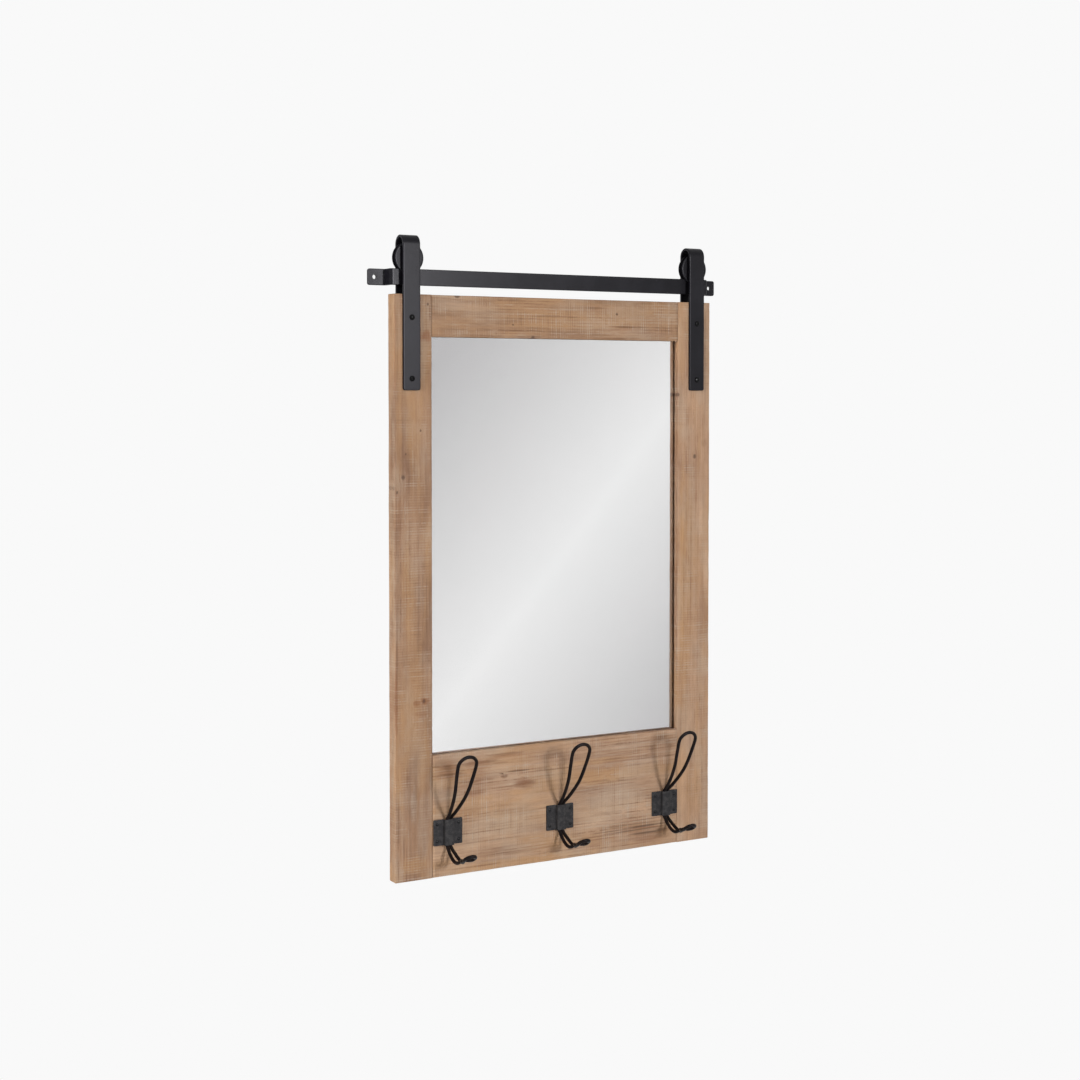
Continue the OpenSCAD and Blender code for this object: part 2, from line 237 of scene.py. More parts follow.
def shade(red, green, blue):
    """Colour of a picture, 0 to 255 a channel, as the linear colour that a shader takes."""
    linear = [c / 255 / 12.92 if c <= 10 else ((c / 255 + 0.055) / 1.055) ** 2.4
              for c in (red, green, blue)]
    return (*linear, 1.0)


SURFACE = {"Colour": "Color", "Roughness": "Float", "Height": "Float"}
print("a group of wood, metal or rubber gives", ", ".join(SURFACE))

# %% [markdown]
# ## Skin of metal and rubber
#
# Powder coat, forged iron and rubber differ in colour, but all of them have cloudy blotches and
# fine specks that change colour, gloss and height together. Image textures could hold these, but
# noise has no seams and stays sharp in close-ups. One group makes both, and each material only
# sets how strong and how large they are.


# %% Group: blotches and specks
def skin_group():
    graph, given = new_group(
        "Blotches and specks",
        {"Vector": (0, 0, 0), "Blotches a metre": 60.0, "Specks a metre": 900.0,
         "Blotch share": 0.5, "Speck share": 0.5, "Base": shade(40, 40, 42),
         "Blotch": shade(70, 70, 72), "Speck": shade(90, 90, 92), "Gloss low": 0.4,
         "Gloss high": 0.6}, SURFACE)
    cloud, speck = (graph.noise(given["Vector"], graph.join(*[given[size]] * 3), detail, 0.6)
                    for size, detail in (("Blotches a metre", 4.0), ("Specks a metre", 3.0)))
    blotch = graph.step(cloud, 0.42, 0.68) * given["Blotch share"]
    bright = graph.step(speck, 0.55, 0.72) * given["Speck share"]
    clouded = graph.mix(blotch, given["Base"], given["Blotch"])
    spread = given["Gloss high"] - given["Gloss low"]
    graph.give({"Colour": graph.mix(bright, clouded, given["Speck"]),
                "Roughness": given["Gloss low"] + spread * cloud, "Height": speck + cloud * 2.0})
    return graph.tree


SKIN = skin_group()
print("group:", SKIN.name)

# %% Metal and rubber materials
SKIN_LABELS = ("Base", "Blotch", "Speck", "Blotches a metre", "Specks a metre", "Blotch share",
               "Speck share", "Gloss low", "Gloss high")

# Name, height of the bumps in mm, metallic, specular, then the shades and values of the labels.
SKINS = (
    ("black_powder_coat", 0.05, 0.0, 0.1, (22, 21, 25), (28, 27, 32), (44, 43, 50),
     25, 1400, 0.6, 0.25, 0.30, 0.42),
    ("forged_iron", 0.12, 0.1, 0.12, (36, 35, 36), (62, 60, 59), (86, 84, 82),
     170, 700, 0.7, 0.35, 0.38, 0.7),
    ("hook_wire_iron", 0.05, 0.0, 0.06, (20, 16, 16), (38, 29, 26), (46, 40, 38),
     70, 1300, 0.5, 0.25, 0.34, 0.5),
    ("nail_iron", 0.06, 0.0, 0.12, (14, 14, 15), (26, 25, 25), (60, 58, 57),
     500, 900, 0.5, 0.4, 0.25, 0.5),
    ("blackened_screw", 0.02, 0.0, 0.12, (7, 7, 8), (12, 12, 13), (24, 24, 25),
     300, 2000, 0.6, 0.3, 0.12, 0.22),
    ("zinc_plated_steel", 0.03, 1.0, 0.5, (176, 178, 182), (150, 152, 158), (205, 206, 208),
     160, 1500, 0.6, 0.3, 0.3, 0.5),
    ("black_rubber", 0.06, 0.0, 0.3, (30, 30, 31), (42, 42, 43), (54, 54, 54),
     120, 1800, 0.5, 0.3, 0.7, 0.9))


def skin_material(name, relief, metallic, specular, *skin):
    """Principled material over the skin group."""
    material, graph, place = new_material(name)
    values = [shade(*value) if isinstance(value, tuple) else value for value in skin]
    look = graph.group(SKIN, {"Vector": place, **dict(zip(SKIN_LABELS, values))})
    graph.give({"Base Color": look["Colour"], "Roughness": look["Roughness"],
                "Normal": graph.bump(look["Height"], relief * MM), "Metallic": metallic,
                "Specular IOR Level": specular})
    return material


powder_coat, forged_iron, hook_wire_iron, nail_iron, black_screw, zinc, rubber = (
    skin_material(*row) for row in SKINS)
print("skin materials:", [m.name for m in bpy.data.materials])

# %% [markdown]
# ## Sawn wood
#
# A rough-sawn board shows four things at once: the growth rings of the trunk, fine fibres
# along them, the marks that the saw left across and along the board, and grey paint that was
# brushed over and caught on the marks. The rings are real circles round a pith line beside the
# board, so the same wood runs on over edges and ends, which a picture laid on each side can't
# do. All of it works in board space: x along the grain, y across the board and z into it.
# Knots push the grain aside before it is drawn.


# %% Group: knot
PUSH_ALONG, PUSH_ACROSS = 3.2, 2.6  # reach of the push, in radii of the knot
PUSH_SOFT = 0.35                   # softens the middle, where the push changes sides
KNOT_SQUEEZE = 0.75                # below 1, so a knot is longer along the grain


def knot_group():
    graph, given = new_group(
        "Knot", {"Vector": (0, 0, 0), "Centre": (0, 0, 0), "Radius": 0.005, "Mask": 0.0},
        {"Vector": "Vector", "Mask": "Float"})
    apart = graph.split(graph.vector("SUBTRACT", given["Vector"], given["Centre"]))
    along, across = apart[0] / given["Radius"], apart[1] / given["Radius"]
    sideways = graph.math("ABSOLUTE", across)
    fade = graph.math("EXPONENT", ((along / PUSH_ALONG) ** 2.0 + sideways / PUSH_ACROSS) * -1.0)
    push = across / (sideways + PUSH_SOFT) * fade * given["Radius"]
    reach = graph.length(graph.join(along * KNOT_SQUEEZE, across, 0.0))
    ragged = reach + graph.noise(given["Vector"], (500, 500, 500)) * 0.8
    core = 1.0 - graph.step(ragged, 0.9, 1.7)
    graph.give({"Vector": graph.vector("SUBTRACT", given["Vector"], graph.join(0.0, push, 0.0)),
                "Mask": graph.most(core, given["Mask"])})
    return graph.tree


# %% Group: patch
def patch_group():
    """Ragged patch round a centre. Each one takes the mask so far, and adds to it."""
    graph, given = new_group(
        "Patch", {"Vector": (0, 0, 0), "Centre": (0, 0, 0), "Reach": (0.05, 0.01, 1.0),
                  "Share": 1.0, "Mask": 0.0}, {"Mask": "Float"})
    apart = graph.vector("SUBTRACT", given["Vector"], given["Centre"])
    reach = graph.length(graph.vector("DIVIDE", apart, given["Reach"]))
    ragged = reach + graph.noise(given["Vector"], (45, 160, 160), 3.0)
    inside = (1.0 - graph.step(ragged, 0.8, 1.6)) * given["Share"]
    graph.give({"Mask": graph.most(inside, given["Mask"])})
    return graph.tree


# %% Bare wood: rings, fibres and streaks
RING_PITCH = 5.8 * MM
RING_WAVER = 16 * MM               # how far the rings wander across the board
PITH_LEAN = 0.04                   # the pith runs off into the depth, a metre along
CLOUD, STREAK, FIBRE, RING = 1.7, 0.9, 0.8, 0.22    # how much each changes the tone


def bare_wood(graph, given, place):
    """Tone of the wood from 0 to 1, and the fibres and streaks that other marks follow."""
    along, across, depth = graph.split(given["Vector"])
    waver = graph.noise(place, (3, 14, 14), 3.0) - 0.5
    ring_y = across + waver * RING_WAVER - given["Pith across"]
    ring_z = depth + given["Pith depth"] + along * PITH_LEAN
    radius = graph.math("SQRT", ring_y ** 2.0 + ring_z ** 2.0)
    ring = (graph.math("SINE", radius * (2 * math.pi / RING_PITCH)) + 1.0) * 0.5
    ring = ring ** 2.0 * graph.step(graph.noise(place, (4, 26, 26), 1.0), 0.45, 0.7)
    fibre = graph.noise(place, (50, 1100, 1100), 3.0, 0.6)
    streak = graph.noise(place, (7, 170, 170), 3.0, 0.6)
    cloud = graph.noise(place, (10, 26, 26), 3.0, 0.6)
    tone = (0.5 + (cloud - 0.5) * CLOUD + (streak - 0.5) * STREAK + (fibre - 0.5) * FIBRE
            - ring * RING)
    return graph.clamped(tone), fibre, streak


# %% Coats: warm wood, paint and stain
# Each coat has spots of its own and those of its mask. drift moves a noise far away, so that two
# coats don't agree. A row is name, drift, lumps a metre, reach, share of own spots and strength.
COATS = (("Warm", (5.2, 3.3, 1.0), (6, 34, 34), (0.42, 0.66), 0.6, 0.75),
         ("Paint", (0.9, 8.1, 5.0), (14, 28, 28), (0.45, 0.66), 0.6, 0.45),
         ("Stain", (7.7, 0.4, 2.0), (7, 60, 60), (0.56, 0.74), 0.5, 0.8))


def lay_coats(graph, given, place, streak, colour):
    for name, drift, lumps, reach, own_share, strength in COATS:
        own = graph.step(graph.noise(graph.vector("ADD", place, drift), lumps, 3.0), *reach)
        mask = graph.most(own * own_share, given[f"{name} mask"])
        if name == "Stain":
            mask = mask * graph.step(streak, 0.25, 0.6)
        colour = graph.mix(mask * strength, colour, given[name])
    return colour


# %% Marks of the saw
def saw_marks(graph, place, run, pitch, wave, drift, lumps):
    """Lines at an even pitch, bent a little and each of its own strength, around 0.5."""
    bend = graph.noise(place, (5, 12, 12), 1.0) * 7.0
    even = graph.math("SINE", run * (2 * math.pi) / pitch + bend)
    return graph.noise(graph.vector("ADD", place, drift), lumps, 2.0, 0.6) + even * wave


def marked_zone(graph, given, place, mask, drift, lumps, start):
    """Where such lines show: in zones of their own, and where the mask lies."""
    own = graph.step(graph.noise(graph.vector("ADD", place, drift), lumps, 2.0), start, 0.58)
    return graph.most(own, given[mask]) * given["Marks"]


# %% Group: sawn wood
def wood_group():
    graph, given = new_group(
        "Sawn wood",
        {"Vector": (0, 0, 0), "Shift": 0.0, "Pith across": 0.02, "Pith depth": 0.05,
         "Pale": shade(182, 150, 124), "Dark": shade(140, 110, 88), "Stain": shade(112, 76, 54),
         "Warm": shade(180, 138, 94), "Paint": shade(182, 165, 146), "Rust": shade(134, 86, 54),
         "Knot": shade(84, 62, 50), "Rust mask": 0.0, "Knot mask": 0.0, "Stain mask": 0.0,
         "Paint mask": 0.0, "Warm mask": 0.0, "Saw pitch": 0.0036, "Line pitch": 0.0042,
         "Marks": 1.0}, SURFACE)
    place = graph.vector("ADD", given["Vector"], graph.join(given["Shift"], 0.0, 0.0))
    along, across, _ = graph.split(given["Vector"])
    tone, fibre, streak = bare_wood(graph, given, place)
    colour = graph.mix(tone, given["Dark"], given["Pale"])
    colour = lay_coats(graph, given, place, streak, colour)

    broken = graph.noise(place, (80, 110, 110), 3.0, 0.6)
    whole = graph.step(broken, 0.28, 0.62)
    saw = saw_marks(graph, place, along, given["Saw pitch"], 0.13, (2.6, 6.1, 3.0), (150, 8, 8))
    line = saw_marks(graph, place, across, given["Line pitch"], 0.10, (4.4, 2.2, 6.0),
                     (8, 170, 170))
    saw_zone = whole * marked_zone(
        graph, given, place, "Paint mask", (3.1, 1.7, 0.0), (13, 26, 13), 0.40)
    line_zone = whole * marked_zone(
        graph, given, place, "Stain mask", (1.3, 4.9, 0.0), (6, 26, 6), 0.36)
    saw_pale, saw_dark = (graph.step(saw, *reach) * saw_zone
                          for reach in ((0.50, 0.82), (0.46, 0.20)))
    line_dark, line_pale = (graph.step(line, *reach) * line_zone
                            for reach in ((0.50, 0.80), (0.46, 0.22)))
    rust = given["Rust mask"] * graph.step(streak, 0.2, 0.5)
    pore = graph.step(graph.noise(place, (240, 2600, 2600), 2.0, 0.6), 0.56, 0.70)
    for mask, share, name in (
            (saw_pale, 0.70, "Paint"), (saw_dark, 0.60, "Dark"), (line_dark, 0.72, "Stain"),
            (line_pale, 0.45, "Paint"), (rust, 0.85, "Rust"), (given["Knot mask"], 0.75, "Knot"),
            (pore, 0.30, "Stain")):
        colour = graph.mix(mask * share, colour, given[name])
    height = ((saw_pale - saw_dark) * 0.5 - line_dark * 0.6 + fibre * 0.8 + broken * 0.4
              - pore * 0.4)
    graph.give({"Colour": colour, "Roughness": fibre * 0.22 + 0.72, "Height": height})
    return graph.tree


KNOT, PATCH, WOOD = knot_group(), patch_group(), wood_group()
print("wood groups:", KNOT.name, "|", PATCH.name, "|", WOOD.name)

# %% [markdown]
# ## One board, one tree
#
# Boards of one frame come from different planks, so each gets its own pith line and its own
# shift through the noise. What the photograph shows at one place only can't be left to noise:
# knots, reddish stains, rust-brown patches round them and paint scrapes, and on the right stile a
# strip of painted shade along the inner wall of the opening. They are given as places on the
# board, in millimetres from the middle between the wall holes.


# %% Board material
def board_material(name, upright, shift, pith, pale, dark, knots=(), marks=1.0, **patches):
    """Wood of one board. Each knot is (x, z, radius). stain, paint, warm, rust and knot are lists
    of patches, each (x, z, reach in x, reach in z, share). All but the share are in mm."""
    material, graph, place = new_material(name)
    x, y, z = graph.split(place)
    place = graph.join(z, x, y) if upright else graph.join(x, z, y)

    def on_board(x_mm, z_mm, deep=0.0):
        pair = (z_mm, x_mm) if upright else (x_mm, z_mm)
        return (pair[0] * MM, pair[1] * MM, deep)

    masks = {"Knot mask": 0.0}
    for label, places in patches.items():
        mask = 0.0
        for x_mm, z_mm, reach_x, reach_z, share in places:
            mask = graph.group(PATCH, {
                "Vector": place, "Centre": on_board(x_mm, z_mm), "Share": share, "Mask": mask,
                "Reach": on_board(reach_x, reach_z, 1.0)})["Mask"]
        masks[f"{label.capitalize()} mask"] = mask
    for x_mm, z_mm, radius in knots:
        knot = graph.group(KNOT, {
            "Vector": place, "Centre": on_board(x_mm, z_mm), "Radius": radius * MM,
            "Mask": masks["Knot mask"]})
        place, masks["Knot mask"] = knot["Vector"], knot["Mask"]
    wood = graph.group(WOOD, {
        "Vector": place, "Shift": shift, "Pith across": pith[0] * MM, "Pith depth": pith[1] * MM,
        "Pale": pale, "Dark": dark, "Marks": marks, **masks})
    graph.give({"Base Color": wood["Colour"], "Roughness": wood["Roughness"],
                "Normal": graph.bump(wood["Height"], 0.25 * MM), "Specular IOR Level": 0.25})
    return material


# %% Materials of the four boards
left_wood = board_material(
    "left_stile_wood", True, 0.0, (-300, 45), shade(170, 134, 104), shade(126, 94, 72), marks=0.7,
    knots=[(-241, -267, 2.6), (-257, -281, 3.6), (-251, -287, 1.6), (-215, -205, 1.4),
           (-237, -236, 1.2), (-211, -569, 2.4), (-204, -36, 1.6)],
    rust=[(-208.5, -78.5, 13, 10, 0.9), (-210, -569, 9, 6, 1.0), (-220, -571, 8, 5, 0.8),
          (-214, -586, 16, 4, 0.5), (-247, -330, 2.4, 60, 0.5), (-252, -100, 3, 90, 0.3),
          (-252, -570, 2.6, 60, 0.7), (-240, -30, 3, 40, 0.4)],
    stain=[(-201, -45, 1.6, 16, 0.9), (-206, -700, 7, 60, 0.4), (-204, -610, 5, 60, 0.5),
           (-250, -730, 6, 40, 0.5), (-251, -520, 2, 90, 0.8), (-251, -330, 1.5, 60, 0.6)],
    paint=[(-226, -708, 7, 34, 0.9), (-222, -640, 18, 60, 0.4), (-212, -740, 12, 60, 0.5),
           (-230, -360, 12, 60, 0.3), (-248, -60, 8, 30, 0.4), (-256.5, -417, 4, 900, 1.0)],
    warm=[(-246, -190, 7, 120, 0.5), (-206, -120, 6, 40, 0.4), (-225, -790, 30, 14, 0.6)])
right_wood = board_material(
    "right_stile_wood", True, 2.3, (290, 60), shade(190, 154, 123), shade(147, 112, 86), marks=0.7,
    knots=[(228, -247, 2.8), (199, -157, 2.2)],
    # The stain patch at x 197 mm, a thin strip the length of the stile, is painted shade on the
    # inner wall of the opening.
    stain=[(244, -227, 7, 7, 0.4), (222, -400, 3, 150, 0.25), (197, -362, 2.2, 700, 0.8)],
    paint=[(222, -330, 10, 120, 0.5), (240, -560, 10, 80, 0.3), (214, -620, 8, 60, 0.4)],
    warm=[(207, -420, 9, 190, 0.9), (205, -110, 8, 40, 0.4)])
top_wood = board_material(
    "top_board_wood", False, 4.1, (60, 35), shade(175, 139, 107), shade(131, 98, 73),
    knots=[(-160, -24, 3), (-43, -78, 2.4), (94, -43, 1.6), (-74, -61, 1.2)],
    stain=[(-150, -30, 60, 3, 0.7), (57, -35, 26, 2.5, 0.8), (111, -61, 34, 2, 0.9),
           (-18, -48, 50, 2, 0.6), (94, -43, 2, 4, 0.9), (-170, -68, 26, 9, 0.4)],
    paint=[(-120, -45, 50, 22, 0.5), (110, -40, 60, 18, 0.5), (20, -35, 40, 8, 0.4)],
    warm=[(-20, -60, 90, 9, 0.6), (160, -30, 40, 8, 0.5)])
bottom_wood = board_material(
    "bottom_board_wood", False, 6.6, (-560, 40), shade(194, 159, 128), shade(147, 114, 90),
    knots=[(-91, -679.8, 1.2)],
    knot=[(140, -780, 50, 1.8, 1.0), (92, -781.5, 50, 1.2, 0.6), (128, -784.3, 66, 1.4, 0.8),
          (148, -790, 42, 1.6, 0.9), (172, -788.5, 14, 3.2, 0.8), (120, -775.5, 70, 1.1, 0.5),
          (125, -771, 60, 1.0, 0.4), (-66, -678.5, 24, 0.8, 0.7), (-92, -680, 4, 1.2, 0.6)],
    rust=[(-128, -672, 22, 26, 0.45), (-60, -694, 16, 8, 0.45), (-136, -700, 20, 10, 0.4),
          (-176, -662, 20, 14, 0.35), (150, -799, 36, 4, 0.4),
          (-90, -656, 60, 4, 0.4), (152, -783, 30, 1.6, 0.7)],
    stain=[(150, -788, 44, 9, 0.5), (110, -778, 90, 8, 0.4), (60, -786, 60, 2, 0.6),
           (-77, -790, 60, 1.6, 0.9), (171, -652, 22, 6, 0.7), (188, -662, 10, 14, 0.6),
           (154, -668, 10, 6, 0.4), (-56, -697, 20, 10, 0.9), (-86, -653, 40, 3, 0.6),
           (-168, -670, 26, 14, 0.9), (-128, -662, 40, 6, 0.8), (-140, -684, 40, 5, 0.8),
           (-136, -700, 22, 6, 0.6),
           (-88, -683, 7, 4, 1.0), (-93, -679, 5, 1.4, 1.0), (-66, -678, 22, 1.2, 1.0),
           (-20, -682, 60, 1.2, 0.7), (-30, -735, 80, 1.6, 0.6),
           (-110, -770, 60, 1.4, 0.6), (60, -790, 60, 1.4, 0.6)],
    paint=[(-80, -752, 70, 26, 0.8), (90, -735, 70, 30, 0.8), (110, -660, 50, 8, 0.4),
           (-87.5, -682.5, 3.4, 2.6, 1.0)],
    warm=[(70, -700, 80, 16, 0.8), (-40, -708, 70, 8, 0.7), (-60, -806, 180, 9, 0.9),
          (-140, -712, 50, 10, 0.6), (60, -678, 60, 6, 0.6)])
print("wood materials ready")

# %% [markdown]
# ## Other flat materials
#
# Dowels are plain planed beech, and the backing is pressed fibre board with the print of a
# wire mesh on it. The silver of the mirror is a metal without any roughness. The studio light
# lies over it as a soft slanting band in the photograph. A lamp would have to stand just so to
# make that band, and would leave it at the first turn of the view, so the band is a painted
# reflection: the colour of the silver falls off evenly on both sides of a slanting line through
# the middle of the glass.


# %% Material: fibre board
MESH_PITCH = 2.2 * MM


def fibre_board_material():
    material, graph, place = new_material("fibre_board")
    fuzz = graph.noise(place, (260, 260, 260), 5.0, 0.7)
    cloud = graph.noise(place, (14, 14, 14), 3.0)
    colour = graph.mix(graph.step(fuzz * 0.6 + cloud * 0.4, 0.3, 0.7), shade(104, 76, 54),
                       shade(142, 110, 82))
    x, _, z = graph.split(place)
    weave_x, weave_z = (graph.math("SINE", run * (2 * math.pi / MESH_PITCH)) for run in (x, z))
    graph.give({"Base Color": colour, "Roughness": fuzz * 0.25 + 0.7, "Specular IOR Level": 0.2,
                "Normal": graph.bump(weave_x * weave_z + fuzz, 0.12 * MM)})
    return material


# %% Material: silver behind the glass
PAINTED_SHEEN_MIDDLE = (0.0, -0.394)       # x and z of a point on the bright band, in metres
PAINTED_SHEEN_ACROSS = (0.744, -0.668)     # direction across the band
PAINTED_SHEEN_REACH = 0.33                 # from the band to the far corners


def silver_material():
    material, graph, place = new_material("silvering")
    x, _, z = graph.split(place)
    # Painted reflection: the silver's colour is brightest along a slanting band and falls off to
    # both sides.
    apart = ((x - PAINTED_SHEEN_MIDDLE[0]) * PAINTED_SHEEN_ACROSS[0] + (z - PAINTED_SHEEN_MIDDLE[1]) * PAINTED_SHEEN_ACROSS[1])
    painted_sheen_wobble = (graph.noise(place, (5, 5, 5), 2.0) - 0.5) * 0.04
    share = graph.clamped(graph.math("ABSOLUTE", apart) / PAINTED_SHEEN_REACH + painted_sheen_wobble)
    graph.give({"Base Color": graph.mix(share, shade(245, 244, 244), shade(192, 190, 191)),
                "Roughness": 0.0, "Metallic": 1.0})
    return material


# %% Material: clear glass and beech
def glass_material():
    material, graph, place = new_material("clear_glass")
    cloud = graph.noise(place, (6, 6, 6), 2.0)
    graph.give({"Base Color": graph.mix(cloud, shade(252, 253, 253), shade(254, 254, 254)),
                "Roughness": 0.0, "IOR": 1.5, "Transmission Weight": 1.0})
    return material


fibre_board, silver, clear_glass = fibre_board_material(), silver_material(), glass_material()
beech = board_material("dowel_beech", False, 9.0, (0, 500), shade(208, 176, 140),
                       shade(186, 150, 112), marks=0.0)
print("materials:", len(bpy.data.materials))

# %% [markdown]
# ## From vertices to a finished piece
#
# Every piece ends the same way: its mesh has its doubles merged and its faces turned outwards,
# soft faces are shaded smooth up to a sharp angle, the piece is hung on the body that carries it,
# and the imported solids that it stands for are hidden.


# %% Making a mesh
MERGE = 0.001 * MM
BOX_FACES = [(0, 1, 3, 2), (4, 6, 7, 5), (0, 4, 5, 1), (2, 3, 7, 6), (0, 2, 6, 4), (1, 5, 7, 3)]


def mesh_object(name, points, faces=(), edges=()):
    mesh = bpy.data.meshes.new(name)
    mesh.from_pydata([tuple(p) for p in points], list(edges), list(faces))
    made = bpy.data.objects.new(name, mesh)
    bpy.context.scene.collection.objects.link(made)
    return made


def settle(piece):
    """Merges doubles and turns all faces outwards."""
    shape = bmesh.new()
    shape.from_mesh(piece.data)
    bmesh.ops.remove_doubles(shape, verts=shape.verts, dist=MERGE)
    bmesh.ops.recalc_face_normals(shape, faces=shape.faces)
    if shape.calc_volume(signed=True) < 0:
        bmesh.ops.reverse_faces(shape, faces=shape.faces)
    shape.to_mesh(piece.data)
    shape.free()
    return piece


def block(name, low, high):
    corners = [(x, y, z) for x in (low.x, high.x) for y in (low.y, high.y) for z in (low.z, high.z)]
    return settle(mesh_object(name, corners, BOX_FACES))


def move(piece, place):
    piece.data.transform(Matrix.Translation(place))
    return piece


def turn(piece, angle, axis="Y"):
    piece.data.transform(Matrix.Rotation(angle, 4, axis))
    return piece


# %% Changing and finishing a piece
def apply_modifiers(piece):
    """Turns what the modifiers show into the piece's own plain mesh."""
    bpy.context.view_layer.update()
    shown = piece.evaluated_get(bpy.context.evaluated_depsgraph_get())
    mesh = bpy.data.meshes.new_from_object(shown)
    piece.modifiers.clear()
    piece.data = mesh
    mesh.name = piece.name


def carve(piece, cutter):
    """Cuts the cutter out of the piece and deletes it."""
    cut = piece.modifiers.new("cut", "BOOLEAN")
    cut.operation, cut.solver, cut.object = "DIFFERENCE", "EXACT", cutter
    apply_modifiers(piece)
    bpy.data.objects.remove(cutter)


def finish(piece, material, slot, *nodes, body="frame", angle=35):
    piece.data.materials.clear()
    piece.data.materials.append(material)
    piece.data.polygons.foreach_set("material_index", [0] * len(piece.data.polygons))
    piece.data.shade_smooth()
    piece.data.set_sharp_from_angle(angle=math.radians(angle))
    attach(piece, body)
    if nodes:
        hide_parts(*nodes)
    print(f"{piece.name}: {len(piece.data.polygons)} faces on {body}")


def dress(node, material):
    """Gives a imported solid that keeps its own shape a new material."""
    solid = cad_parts[node]
    solid.data.materials.clear()
    solid.data.materials.append(material)


def box_of(node):
    low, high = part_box(node)
    return low, high, (low + high) / 2


# %% [markdown]
# ## Sweeping and turning
#
# Two ways of making cover nearly all of this object. A bar or a board is one outline carried
# along a line, ring by ring. A wheel, a screw head or a rubber foot is one outline turned round
# an axis. Boxes with a bevel would look the same on straight parts, but not in the bends. Both
# ways give quads in order, closed at their ends.


# %% Rings and turned shapes
def skin_rings(name, rings, closed=False):
    """Quads between rings of equal length. An open run is closed by a fan at each end."""
    count = len(rings[0])
    points = [p for ring in rings for p in ring]
    pairs = len(rings) if closed else len(rings) - 1
    faces = [(i * count + j, i * count + (j + 1) % count,
              (i + 1) % len(rings) * count + (j + 1) % count, (i + 1) % len(rings) * count + j)
             for i in range(pairs) for j in range(count)]
    for end in () if closed else (0, len(rings) - 1):
        points.append(sum((Vector(p) for p in rings[end]), Vector()) / count)
        faces += [(end * count + j, end * count + (j + 1) % count, len(points) - 1)
                  for j in range(count)]
    return settle(mesh_object(name, points, faces))


def full_turn(steps):
    return [2 * math.pi * k / steps for k in range(steps)]


def round_y(radius, y, angle):
    """Point at that radius and angle round the Y axis."""
    return (radius * math.cos(angle), y, radius * math.sin(angle))


def lathe(name, outline, steps=48):
    """Turns (radius, y) points round the Y axis. An outline that ends on the axis is closed."""
    rings = [[round_y(r, y, a) for a in full_turn(steps)] for r, y in outline]
    return skin_rings(name, rings, closed=outline[0][0] > 0 and outline[-1][0] > 0)


def drill(piece, x, radius, low, high, steps):
    """Drills a hole along Y, from low to high."""
    bit = lathe("drill", [(0, low), (radius, low), (radius, high), (0, high)], steps)
    carve(piece, move(bit, (x, 0, 0)))


# %% Lines of arcs
def round_corner(middle, radius, start, end, steps=4):
    """Points of an arc in a plane, angles in degrees."""
    return [(middle[0] + radius * math.cos(a), middle[1] + radius * math.sin(a))
            for a in (math.radians(start + (end - start) * k / steps) for k in range(steps + 1))]


def arc_line(middle, radius, start, end, to_point, steps=12):
    """Arc as 3-D points, through a function that puts plane points into space."""
    return [to_point(*p) for p in round_corner(middle, radius, start, end, steps)]


def in_plan(x, y):
    return Vector((x, y, 0))


def both_halves(half, middle_x=0.0):
    """A line and its mirror image, as one line from left to right."""
    return [Vector((2 * middle_x - p.x, p.y, p.z)) for p in reversed(half)] + half


# %% Bent flat bar
HOLD = 0.03                        # points this close to an edge keep a broad side flat
AT_A_BEND = 1e-6                   # less of a stretch than this counts as its start


def eased_half(full, radius, from_end):
    """Half of a width that shrinks along a quarter circle near an end of the bar."""
    short = max(0.0, radius - from_end)
    return full / 2 - radius + math.sqrt(max(0.0, radius * radius - short * short))


def bar_outline(width, thick, edge, corner, from_end, shares):
    """Outline with eased edges at that distance from an end of the bar, with points on its
    broad sides at the given shares of the width."""
    half_w, half_t = eased_half(width, corner, from_end), eased_half(thick, edge, from_end)
    ease = edge * half_t * 2 / thick
    outline = []
    for quarter, (sx, sy) in enumerate(((1, 1), (-1, 1), (-1, -1), (1, -1))):
        middle = (sx * (half_w - ease), sy * (half_t - ease))
        outline += round_corner(middle, ease, 90 * quarter, 90 * quarter + 90, 3)
        if quarter % 2 == 0:
            x, y = outline[-1]
            outline += [(x * (1 - 2 * share), y) for share in shares]
    return outline


def bent_bar(name, line, across, width, thick, edge, corner, cell=None):
    """Flat bar along a line in a plane. across is the unit vector square to that plane. With a
    cell size, its broad sides are cut into cells, so that they can be dented."""
    lengths = [0.0]
    for a, b in zip(line, line[1:]):
        lengths.append(lengths[-1] + (b - a).length)
    total = lengths[-1]
    ease = [size * (1 - math.cos(math.radians(t))) for size, step in ((corner, 15), (edge, 30))
            for t in range(0, 91, step)]
    stops = lengths + ease + [total - e for e in ease]
    shares = (HOLD, 1 - HOLD)
    if cell:
        stops += [total * k / round(total / cell) for k in range(round(total / cell))]
        shares = [k / round(width / cell) for k in range(1, round(width / cell))]
    rings = []
    for stop in sorted({round(s, 6) for s in stops}):
        k = max(i for i in range(len(line) - 1) if lengths[i] <= stop + 1e-9)
        share = (stop - lengths[k]) / (lengths[k + 1] - lengths[k])
        place = line[k].lerp(line[k + 1], share)
        ahead = line[k + 1] - line[k]
        if share < AT_A_BEND and k > 0:
            ahead = ahead.normalized() + (line[k] - line[k - 1]).normalized()
        normal = across.cross(ahead.normalized()).normalized()
        outline = bar_outline(width, thick, edge, corner, min(stop, total - stop), shares)
        rings.append([place + across * x + normal * y for x, y in outline])
    return skin_rings(name, rings)


# %% [markdown]
# ## Rail
#
# One flat bar. Its ends step back to the wall round two tight bends and lie flat on it as ears
# with one hole each. Three boxes would show seams where the real bar is bent, so one sweep along
# the middle line gives bends and eased edges at once, and the holes are drilled afterwards.

# %% Rail
BAR_T, BAR_EDGE, BEND_R = 4 * MM, 0.7 * MM, 3 * MM
EAR_L, EAR_ROUND = 23 * MM, 3 * MM
EAR_HOLE_INSET, EAR_HOLE_R = 9.5 * MM, 3 * MM

